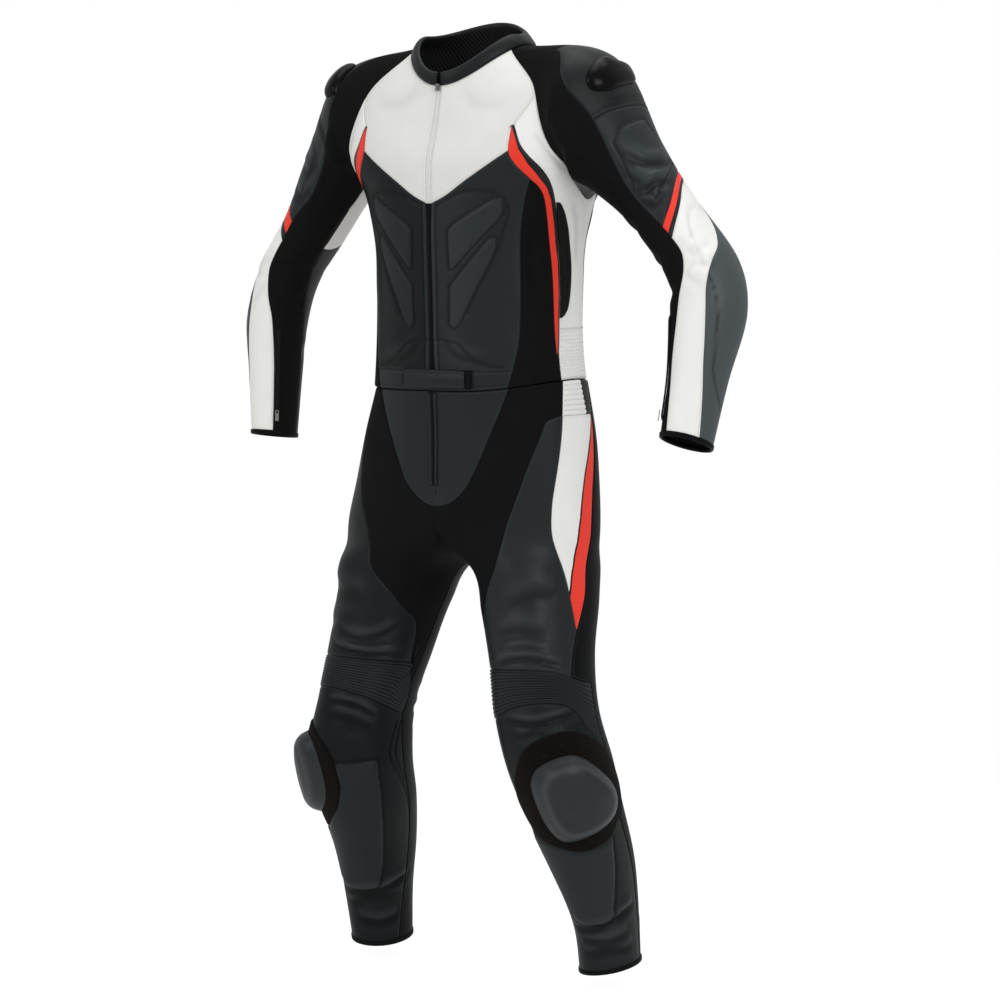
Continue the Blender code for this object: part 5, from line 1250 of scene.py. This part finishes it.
finishes = {
    "white": leather("whiteLeather", "white", stitched=0.14, seam=0.3, dent=0.18, rub=0),
    # a lit copy of the white leather: painted light
    "bright": leather("brightWhiteLeather", "bright", stitched=0.14, seam=0.3, dent=0.18, rub=0),
    "charcoal": leather("charcoalLeather", "charcoal"),
    # darker copies of the charcoal leather: painted shade
    "shade": leather("shadedLeather", "shade"),
    "deep": leather("deepShadedLeather", "deep"),
    "ribs": leather("ribbedLeather", "deep", stitched=0, dent=0.8, rub=0.45),
    "cap": leather("shoulderLeather", "cap"),
    "black": leather("blackLeather", "black"),
    # the gap colour in the slit is the dark zip beneath with painted shade
    "welt": leather("weltLeather", "charcoal", "gap", stitched=0),
    "forearm": leather("forearmLeather", "grey", roughness=0.45),
    "redGrey": leather("redLeatherGreyEdge", "red", "piping", rub=0),
    "stripe": leather("redLeatherWhiteInlay", "red", "bright", "dark", stitched=0.14, rub=0),
    "gusset": leather("whiteLeatherBlackBack", "white", "black", stitched=0.14, rub=0),
    "waistRib": leather("whiteLeatherBlackRib", "bright", "black", stitched=0, dent=0.35, rub=0),
    "stretch": stretchCloth("stretchCloth"),
    "loop": loopPile("loopPile"),
    # each plastic's second colour is its painted rim highlight
    "slider": mouldedPlastic("sliderPlastic", colour(33, 37, 39), colour(66, 70, 73), 0.32, 0.25),
    "cup": mouldedPlastic("cupPlastic", colour(4, 4, 4), colour(9, 9, 9), 0.14, 0.12),
    "zip": zipCloth("zipCloth"),
    "metal": zipMetal("zipMetal"),
    "collarMesh": ribbedMesh("collarMesh"),
}
lining = meshCloth("meshLining")
print("finishes mixed")


# ---- the panels ----
# the finish and the leather of each kind of panel; the others are stretch cloth
wears = {
    "chest": "white white", "belly": "charcoal charcoal", "chestStripe": "redGrey red",
    "sidePanel": "bright white", "backUpper": "black charcoal", "backLower": "black black",
    "hemBand": "charcoal charcoal", "shoulderCap": "cap charcoal", "armPad": "charcoal charcoal",
    "armStripe": "redGrey red", "forearmFront": "bright white", "forearmOuter": "forearm charcoal",
    "sleeveBack": "gusset black", "thighOuter": "charcoal charcoal", "thighStripe": "stripe red",
    "waistRib": "waistRib white", "legBack": "black black", "kneeRib": "ribs charcoal",
    "shin": "charcoal charcoal", "fly": "charcoal charcoal",
}
# single panels given a darker copy of their leather: painted shade where the light falls off
shadedPanels = {"shinLeft": "shade", "shinRight": "deep", "thighOuterRight": "shade", "bellyRight": "shade"}
half = {1: "Left", -1: "Right"}


def nodeName(name):
    # the solid that a piece stands for
    return "".join("_" + letter.lower() if letter.isupper() else letter for letter in name)


def sewSuit():
    made, kinds = {}, {}
    for side in (1, -1):
        legs, sleeves = (legSeams, sleeveSeams) if side == 1 else (rightLegSeams, rightSleeveSeams)
        for form, seams, patches, ending in (
                ("torso", bodySeams, jacket, half[side]), ("torso", bodySeams, jacketWhole, ""),
                ("sleeve", sleeves, sleeve, half[side]), ("leg", legs, trousers, half[side]),
                ("leg", legs, trousersWhole, "")):
            for kind, parts in patches.items():
                name = kind + ending
                made[name] = sewnPanel(kind, form, side, seams, parts, made.get(name))
                kinds[name] = kind
    for name, parts in jacketMiddle.items():
        made[name] = sewnPanel(name, "torso", 1, bodySeams, parts, made.get(name))
        kinds.setdefault(name, name)
    for name, panel in made.items():
        finish, slot = "stretch", "stretch_black"
        if kinds[name] in wears:
            finish, leatherColour = wears[kinds[name]].split()
            slot = "leather_" + leatherColour
        materials = [finishes[shadedPanels.get(name, finish)], lining]
        weld(panel, 0.0001, 0.00001)
        hangPiece(name + "Cloth", panel, materials, [nodeName(name)], cloth["wall"], True)
    print("panels sewn:", len(made))


sewSuit()


# ---- pieces laid on the panels ----
def laidGrid(rows, columns, places, lines=None):
    # a grid of cloth whose corners go to the given places, row by row
    made = newCloth()
    sides, ends, layer = [made.verts.layers.float_vector[name] for name in kept]
    places = np.asarray(places).reshape(-1, 3) - (0, 0, figure["held"])
    for vert, spot in gridOfCloth(made, rows, columns):
        vert.co = places[spot]
        vert[sides] = vert[ends] = (farAway, farAway, 0)
        if lines is not None:
            vert[layer] = lines[spot]
    return made


def laidPiece(name, made, materials, nodes, wall=0.0):
    weld(made, 0.00002, 0.000002)
    return hangPiece(name, made, materials, nodes, wall)


def faceAway(made, direction):
    # turn the faces so that most of them look along the given direction
    made.normal_update()
    total = sum((face.normal * face.calc_area() for face in made.faces), Vector())
    if total.dot(Vector(direction)) < 0:
        bmesh.ops.reverse_faces(made, faces=made.faces)


def cyclic(values, places):
    # a smooth closed curve through the values at evenly counted places
    count = len(values)
    padded = np.concatenate((values[-2:], values, values[:3]))
    return smooth(np.arange(-2, count + 3), padded, np.asarray(places) % count)


def crownedPiece(name, form, side, look, material, node):
    # a shell with a rounded outline; its profile is shares of the way from its middle to its rim, and
    # heights in millimetres
    outline, around = np.array(inMetres(look["outline"])), look.get("around", 72)
    shares, heights = np.array(inMetres(look["profile"])).T
    rings = np.unique(np.concatenate([np.linspace(a, b, look["steps"], endpoint=False)
                                      for a, b in zip(shares[:-1], shares[1:])] + [[1.0]]))
    lift = smooth(shares, heights[:, None], rings)[:, 0]
    edge = cyclic(outline, np.linspace(0, len(outline), around, endpoint=False))
    edge = np.concatenate((edge, edge[:1]))
    middle = np.array(look["middle"], float)
    net = middle + (edge - middle)[None] * rings[:, None, None]
    points, away = surface(form, side, *net.reshape(-1, 2).T)
    straight = surface(form, side, middle[:1], middle[1:])[1]
    mixed = away * (1 - look["straight"]) + straight * look["straight"]
    mixed /= np.linalg.norm(mixed, axis=1)[:, None]
    base = heights[-1]
    places = points + away * base + mixed * (np.repeat(lift, len(edge)) - base)[:, None]
    # a ring of painted highlight along the raised rim; left at 2 it lies off the piece
    paintedLight = np.repeat(ridge(rings, 0.06, look.get("highlightAt", 2)), len(edge))
    thread = paintedLight + 1
    if "stitched" in look:
        thread = np.minimum.reduce([nearest(points, pathOnForm(form, side, inMetres(path)))[0]
                                    for path in look["stitched"]])
    made = laidGrid(len(rings), len(edge), places, np.stack((paintedLight, thread, 0 * paintedLight), axis=1))
    faceAway(made, straight[0])
    return laidPiece(name, made, [material], [node], look["wall"])


# middle and outline as angles and levels, in metres and in millimetres
sliderLook = {"straight": 0.85, "wall": 0.003, "steps": 6}
kneeSlider = {
    1: {**sliderLook, "middle": (42, 0.312), "highlightAt": 0.78,
        "outline": (69, 362, 48.5, 369, 32, 366, 12, 347, -9, 322, -16, 300, -8, 279, 14, 264, 50, 254,
                    76, 256, 88, 282, 91, 312, 90, 335, 82, 352),
        "profile": (0, 25.5, 0.5, 24.6, 0.72, 22.6, 0.82, 19.6, 0.93, 13, 1, 4.6)},
    -1: {**sliderLook, "middle": (34, 0.308), "highlightAt": 0.8,
         "outline": (66, 362, 48, 368, 30, 366, 8, 358, -10, 338, -17, 308, -10, 276, 10, 258, 36, 250,
                     58, 254, 76, 274, 83, 302, 79, 335),
         "profile": (0, 27.5, 0.5, 26.6, 0.72, 24.6, 0.84, 20.6, 0.94, 13, 1, 4.6)},
}
padLook = {"straight": 0.0, "wall": 0.0008,
           "profile": (0, 3, 0.93, 3, 0.975, 2.6, 1, 1.2)}
kneePad = {
    1: {**padLook, "middle": (42, 0.318), "outline": loopOutline[1], "steps": 14, "around": 200,
        "stitched": ((78, 379, 71.4, 374.5, 65, 370, 59.7, 370, 54.3, 374.5, 49.8, 383.5, 44.4, 388,
                      38.9, 390, 30.8, 386), (12, 362, 10, 354, 3, 348, -8, 345.5, -18, 352))},
    -1: {**padLook, "middle": (32, 0.306), "outline": loopOutline[-1], "steps": 8},
}
cupLook = {"straight": 0.5, "wall": 0.0016, "highlightAt": 0.86, "steps": 5}
shoulderCup = {
    1: {**cupLook, "middle": (10, 0.113),
        "outline": (42, 122.5, 43, 112, 33, 103, 11, 96, -5, 101, -24, 105, -25, 114, -19, 122,
                    2, 126.5, 27, 128),
        "profile": (0, 11, 0.55, 10.4, 0.8, 8.2, 0.94, 4.6, 1, 1.4)},
    -1: {**cupLook, "middle": (43, 0.0885),
         "outline": (46, 64.5, 57, 64.5, 66, 70, 66, 86, 62, 103.5, 54, 109, 44, 113, 30, 112, 21, 101,
                     21, 83, 31, 69),
         "profile": (0, 9.6, 0.55, 9.2, 0.8, 7.4, 0.94, 4.2, 1, 1.4)},
}


def makeArmour():
    for side, word in half.items():
        node = word.lower()
        crownedPiece("kneeLoop" + word, "leg", side, kneePad[side], finishes["loop"],
                                "knee_pad_" + node)
        crownedPiece("kneeSlider" + word, "leg", side, kneeSlider[side], finishes["slider"],
                     "knee_slider_" + node)
        crownedPiece("shoulderCup" + word, "sleeve", side, shoulderCup[side], finishes["cup"],
                     "shoulder_cup_" + node)
    print("armour placed")


def laidStrip(name, form, side, look, finish, node=None):
    # a strip between two edges; its cross-section is shares of the way across, and heights in millimetres
    first, second = np.array(inMetres(look["first"])), np.array(inMetres(look["second"]))
    places = np.arange(len(first))
    share = np.linspace(0, len(first) - 1, look.get("steps", 12) * (len(first) - 1) + 1)
    first, second = smooth(places, first, share), smooth(places, second, share)
    across, heights = np.array(inMetres(look["section"])).T
    net = first[:, None] * (1 - across[:, None]) + second[:, None] * across[:, None]
    rows, columns = net.shape[:2]
    points, away = surface(form, side, *net.reshape(-1, 2).T)
    toEnd = np.clip(np.minimum(np.arange(rows), np.arange(rows)[::-1]) / 2, 0, 1) ** 0.6
    height = heights[0] + np.tile(heights - heights[0], rows) * np.repeat(toEnd, columns)
    grid = points.reshape(rows, columns, 3)
    wide = np.linalg.norm(grid[:, -1] - grid[:, 0], axis=1)
    lines = np.zeros((rows, columns, 3))
    lines[..., 0] = (across - 0.5)[None] * wide[:, None]
    lines[..., 1] = lengthsAlong(grid.mean(axis=1))[:, None]
    # the slit between the welts takes the second colour: the dark zip beneath with painted shade
    if "slit" in look:
        lines[..., 0] = np.abs(lines[..., 0]) - look["slit"]
        lines[..., 1] = 1
    made = laidGrid(rows, columns, points + away * height[:, None], lines.reshape(-1, 3))
    faceAway(made, away[len(away) // 2])
    laidPiece(name, made, [finishes[finish]], [node] if node else [], look["wall"])


def lengthsAlong(points):
    return np.insert(np.cumsum(np.linalg.norm(np.diff(points, axis=0), axis=1)), 0, 0)


# the edges as angles and millimetres
tabLook = {
    "first": (-23.5, 948, -22.5, 951.5, -15, 953, 1, 953.2, 17, 953, 24.5, 951.7, 25.6, 948),
    "second": (-23.5, 928, -22.5, 925, -15, 924, 1, 923.6, 17, 924, 24.5, 924.8, 25.6, 928),
    "section": (0, 1.2, 0.03, 3.4, 0.08, 4.6, 0.14, 4.6, 0.17, 4, 0.2, 4.7, 0.5, 5, 0.8, 4.7, 0.83, 4,
                0.86, 4.6, 0.92, 4.6, 0.97, 3.4, 1, 1.2),
    "wall": 0.0012,
}
tabLoopLook = {
    "first": (26.2, 952.8, 28, 953, 29.8, 952.8),
    "second": (26.2, 923.5, 28, 923.3, 29.8, 923.5),
    "section": (0, 1.2, 0.05, 4.4, 0.12, 5, 0.88, 5, 0.95, 4.4, 1, 1.2),
    "wall": 0.0012,
}
flyLook = {
    "first": (-4.8, 918, -4.8, 880, -4.6, 830, -4, 775),
    "second": (2.6, 918, 2.4, 880, 2.2, 830, 1.6, 775),
    "section": (0, 1, 0.06, 3.4, 0.2, 4.4, 0.34, 3.6, 0.39, 0.8, 0.5, 0.6, 0.61, 0.8, 0.66, 3, 0.8, 3.6,
                0.94, 2.6, 1, 1),
    "wall": 0.001, "slit": 0.0025,
}
cuffZipShape = {
    "section": (0, 1, 0.05, 2.4, 0.16, 3.2, 0.27, 2.4, 0.31, 1.6, 0.42, 1.5, 0.44, 2.2, 0.5, 2.6, 0.56, 2.2,
                0.58, 1.5, 0.69, 1.6, 0.73, 2.4, 0.84, 3.2, 0.95, 2.4, 1, 1),
    "wall": 0.0008,
}
cuffZipLook = {
    1: {**cuffZipShape, "first": (143.5, 455, 144, 500, 144.5, 560, 146, 614),
        "second": (134.5, 455, 134, 500, 133.5, 560, 133, 614)},
    -1: {**cuffZipShape, "first": (138.5, 455, 138.5, 500, 138.8, 560, 140, 614),
         "second": (127.5, 455, 127.5, 500, 127.2, 560, 127, 614)},
}
pocketLook = {
    "first": (73.2, 1202, 75, 1185, 77.7, 1158, 80.1, 1120, 80.9, 1075, 80.7, 1048, 80.4, 1032),
    "second": (75.6, 1202, 80.4, 1185, 85.4, 1158, 89.1, 1120, 88.9, 1080, 86.4, 1048, 81.6, 1032),
    "section": (0, 0.6, 0.08, 1.2, 0.2, 2.6, 0.32, 3.4, 0.42, 3, 0.46, 1.4, 0.54, 1.4, 0.58, 3.4, 0.74, 4.8,
                0.9, 4, 0.97, 2.6, 1, 1),
    "wall": 0.001, "steps": 10,
}
bindingLook = {
    "wide": 0.0065, "columns": 73,
    "past": 0.35,           # how far past the raw end, as a share of the width
    # share of the width, height: round the band, from its inner edge back to it
    "section": ((-1, -0.0028), (0, -0.0028), (0.6, -0.001), (0.6, 0.0006), (0, 0.0016), (-0.9, 0.0016),
                (-1, 0.0004), (-1, -0.0028)),
}


def makeBinding(name, form, side, level):
    # a narrow band folded over the raw end of a sleeve or leg
    columns, rows = bindingLook["columns"], []
    for along, lift in bindingLook["section"]:
        past = 1 if along < 0 else bindingLook["past"]
        reached = (-1 if form == "leg" else 1) * along * bindingLook["wide"] * past
        points, away = surface(form, side, np.linspace(0, 360, columns), np.full(columns, level + reached))
        rows.append(points + away * lift)
    made = laidGrid(len(rows), columns, rows)
    bmesh.ops.remove_doubles(made, verts=made.verts, dist=0.00002)
    bmesh.ops.recalc_face_normals(made, faces=made.faces)
    laidPiece(name, made, [finishes["black"]], [])


def makeTrim():
    laidStrip("waistTab", "torso", 1, tabLook, "charcoal", "waist_tab")
    laidStrip("waistTabLoop", "torso", 1, tabLoopLook, "stretch")
    makeWaistJoin()
    laidStrip("flyWelts", "hip", 1, flyLook, "welt", "fly_zip")
    for side, word in half.items():
        node = word.lower()
        laidStrip("cuffZip" + word, "sleeve", side, cuffZipLook[side], "zip", "cuff_zip_" + node)
        laidStrip("pocketZip" + word, "torso", side, pocketLook, "zip", "pocket_" + node)
        makeBinding("cuffBinding" + word, "sleeve", side, figure["cuff"])
        makeBinding("ankleBinding" + word, "leg", side, figure["legHem"])
    print("trim placed")


collarLook = {
    "gap": 2.2,             # half angle left open for the zip
    "thick": 0.0052,
    "lining": 0.055,        # how far the mesh runs down inside
    "narrows": 0.1,         # how much narrower it is at its foot
    "ribSlope": 0.55,       # how far the ribs of the mesh lean
    "columns": 145,
    # share of the height, and how far the leather bulges there
    "outside": ((0.03, -0.0012), (0.1, 0.0006), (0.3, 0.0012), (0.55, 0.0014), (0.75, 0.0012),
                (0.88, 0.0006), (0.95, -0.0003), (1.0, -0.0018)),
    # height above the top edge and how far inwards
    "rolled": ((0.0012, 0.003), (0.0004, 0.0044)),
}


def makeCollar():
    # leather outside, a rolled top edge, and ribbed mesh down the inside
    gap, thick, columns = (collarLook[name] for name in ("gap", "thick", "columns"))
    angles = np.linspace(gap, 360 - gap, columns)
    ends = np.clip(np.minimum(np.arange(columns), np.arange(columns)[::-1]) / 2.0, 0, 1) ** 0.5
    outside, away, rows = [], [], []
    for share, lift in collarLook["outside"]:
        points = collarForm(1, angles, share)
        aside = collarForm(1, angles + 1, share) - collarForm(1, angles - 1, share)
        upward = collarForm(1, angles, share + 0.05) - collarForm(1, angles, share - 0.05)
        straight = np.cross(aside, upward)
        outside.append(points)
        away.append(straight / np.linalg.norm(straight, axis=1)[:, None])
        rows.append(points + away[-1] * ((lift + 0.001) * ends - 0.001)[:, None])
    for lift, inward in collarLook["rolled"]:
        rows.append(outside[-1] - away[-1] * inward + (0, 0, lift))
    leatherRows = len(rows)
    for share, inward in ((0.9, thick), (0.6, thick), (0.3, thick), (0.0, thick + 0.001)):
        rows.append(collarForm(1, angles, share) - away[3] * inward)
    low = rows[-1]
    inward = (low - (0, low[:, 1].mean(), 0)) * (1, 1, 0)
    for drop in (0.25, 0.6, 1.0):
        rows.append(low + inward * collarLook["narrows"] * drop - (0, 0, collarLook["lining"] * drop))
    grid, count = np.array(rows), len(rows)
    drops = np.linalg.norm(np.diff(grid, axis=0), axis=2)
    down = np.insert(np.cumsum(drops, axis=0), 0, 0, axis=0)
    lines = np.zeros((count, columns, 3))
    lines[..., 0] = lengthsAlong(grid[7])[None] + down * collarLook["ribSlope"]
    lines[leatherRows:, :, 2] = 1
    made = laidGrid(count, columns, grid, lines.reshape(-1, 3))
    faceAway(made, (0, 0, 1))
    layer = made.verts.layers.float_vector["lines"]
    for face in made.faces:
        face.material_index = round(sum(vert[layer][2] for vert in face.verts) / 4 - 0.1)
    laidPiece("standCollar", made, [finishes["cap"], finishes["collarMesh"]], ["collar"],
                         0.0012)


waistJoin = {"top": 0.95, "foot": 0.903, "inset": 0.0095, "rows": 6, "columns": 61}


def makeWaistJoin():
    # the stretch band inside the waist that joins the jacket to the trousers
    rows, columns = waistJoin["rows"], waistJoin["columns"]
    levels = np.linspace(waistJoin["top"], waistJoin["foot"], rows)
    angle, level = np.meshgrid(np.linspace(0, 180, columns), levels)
    for side, word in half.items():
        points, away = surface("torso", side, angle.ravel(), level.ravel())
        part = laidGrid(rows, columns, points - away * waistJoin["inset"])
        laidPiece("waistJoin" + word, part, [finishes["stretch"]], [], 0.0012)


makeArmour()
makeTrim()
makeCollar()
for name in ("zip_slider", "cuff_pull_left", "cuff_pull_right"):
    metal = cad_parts[name]
    metal.data.materials.clear()
    metal.data.materials.append(finishes["metal"])


# ---- floor, lights and camera ----
floorLook = {"size": 40, "clearAt": 2.7, "fade": 0.9, "opacity": 0.25, "glow": 0.7}


def stageFloor():
    made = bmesh.new()
    bmesh.ops.create_grid(made, x_segments=1, y_segments=1, size=floorLook["size"])
    bmesh.ops.translate(made, verts=made.verts, vec=(0, 0, -figure["held"]))
    mesh = bpy.data.meshes.new("floor")
    made.to_mesh(mesh)
    made.free()
    floor = bpy.data.objects.new("floor", mesh)
    bpy.context.scene.collection.objects.link(floor)
    graph = Graph("paleFloor")
    far = graph.node("VectorMath", {"operation": "LENGTH"}, {0: graph.place()}, output="Value")
    tint = graph.mix(graph.noise(40.0, 3.0) * 0.1, (0.95, 0.95, 0.95, 1), (0.9, 0.9, 0.9, 1))
    # clear away from the suit, so that the backdrop shows
    fade = graph.clamp((floorLook["clearAt"] - far) / floorLook["fade"]) * floorLook["opacity"]
    mesh.materials.append(graph.finish(tint, 0.9, Alpha=fade,
                                       Emission_Color=(1, 1, 1, 1), Emission_Strength=floorLook["glow"]))


studio = {
    "distance": 6.5, "azimuth": 36, "height": 1.25, "aim": 0.745, "lens": 150.9, "shift": 0.018,
    "backdrop": 1.0,        # brightness of the white backdrop, and of the light it gives
    "ambient": 0.54,
    # name: place, size, watts
    "lamps": {"key": ((4.4, -2.4, 1.8), 2.4, 78), "fill": ((-1.6, -4.4, 1.6), 2.4, 42),
              "top": ((0.0, 0.5, 3.2), 3.0, 48)},
}


def lightAndCamera():
    scene = bpy.context.scene
    scene.view_settings.view_transform = "Standard"
    world = bpy.data.worlds.new("studio")
    world.use_nodes = True
    tree = world.node_tree
    dim, bright = tree.nodes["Background"], tree.nodes.new("ShaderNodeBackground")
    for light, strength in ((dim, studio["ambient"]), (bright, studio["backdrop"])):
        light.inputs["Color"].default_value = (1, 1, 1, 1)
        light.inputs["Strength"].default_value = strength
    seen, mixed = tree.nodes.new("ShaderNodeLightPath"), tree.nodes.new("ShaderNodeMixShader")
    tree.links.new(seen.outputs["Is Camera Ray"], mixed.inputs[0])
    tree.links.new(dim.outputs[0], mixed.inputs[1])
    tree.links.new(bright.outputs[0], mixed.inputs[2])
    tree.links.new(mixed.outputs[0], tree.nodes["World Output"].inputs["Surface"])
    scene.world = world
    target = Vector((0, 0, studio["aim"] - figure["held"]))
    for name, (place, size, watts) in studio["lamps"].items():
        lamp = bpy.data.lights.new(name, "AREA")
        lamp.size, lamp.energy = size, watts
        holder = bpy.data.objects.new(name, lamp)
        holder.location = place
        holder.rotation_euler = (target - Vector(place)).to_track_quat("-Z", "Y").to_euler()
        scene.collection.objects.link(holder)
    turn = math.radians(studio["azimuth"])
    camera = bpy.data.objects.new("camera", bpy.data.cameras.new("camera"))
    camera.location = (math.sin(turn) * studio["distance"], -math.cos(turn) * studio["distance"],
                       studio["height"] - figure["held"])
    camera.rotation_euler = (target - camera.location).to_track_quat("-Z", "Y").to_euler()
    camera.data.lens, camera.data.shift_x = studio["lens"], studio["shift"]
    scene.collection.objects.link(camera)
    scene.camera = camera


stageFloor()
lightAndCamera()
print("studio set")
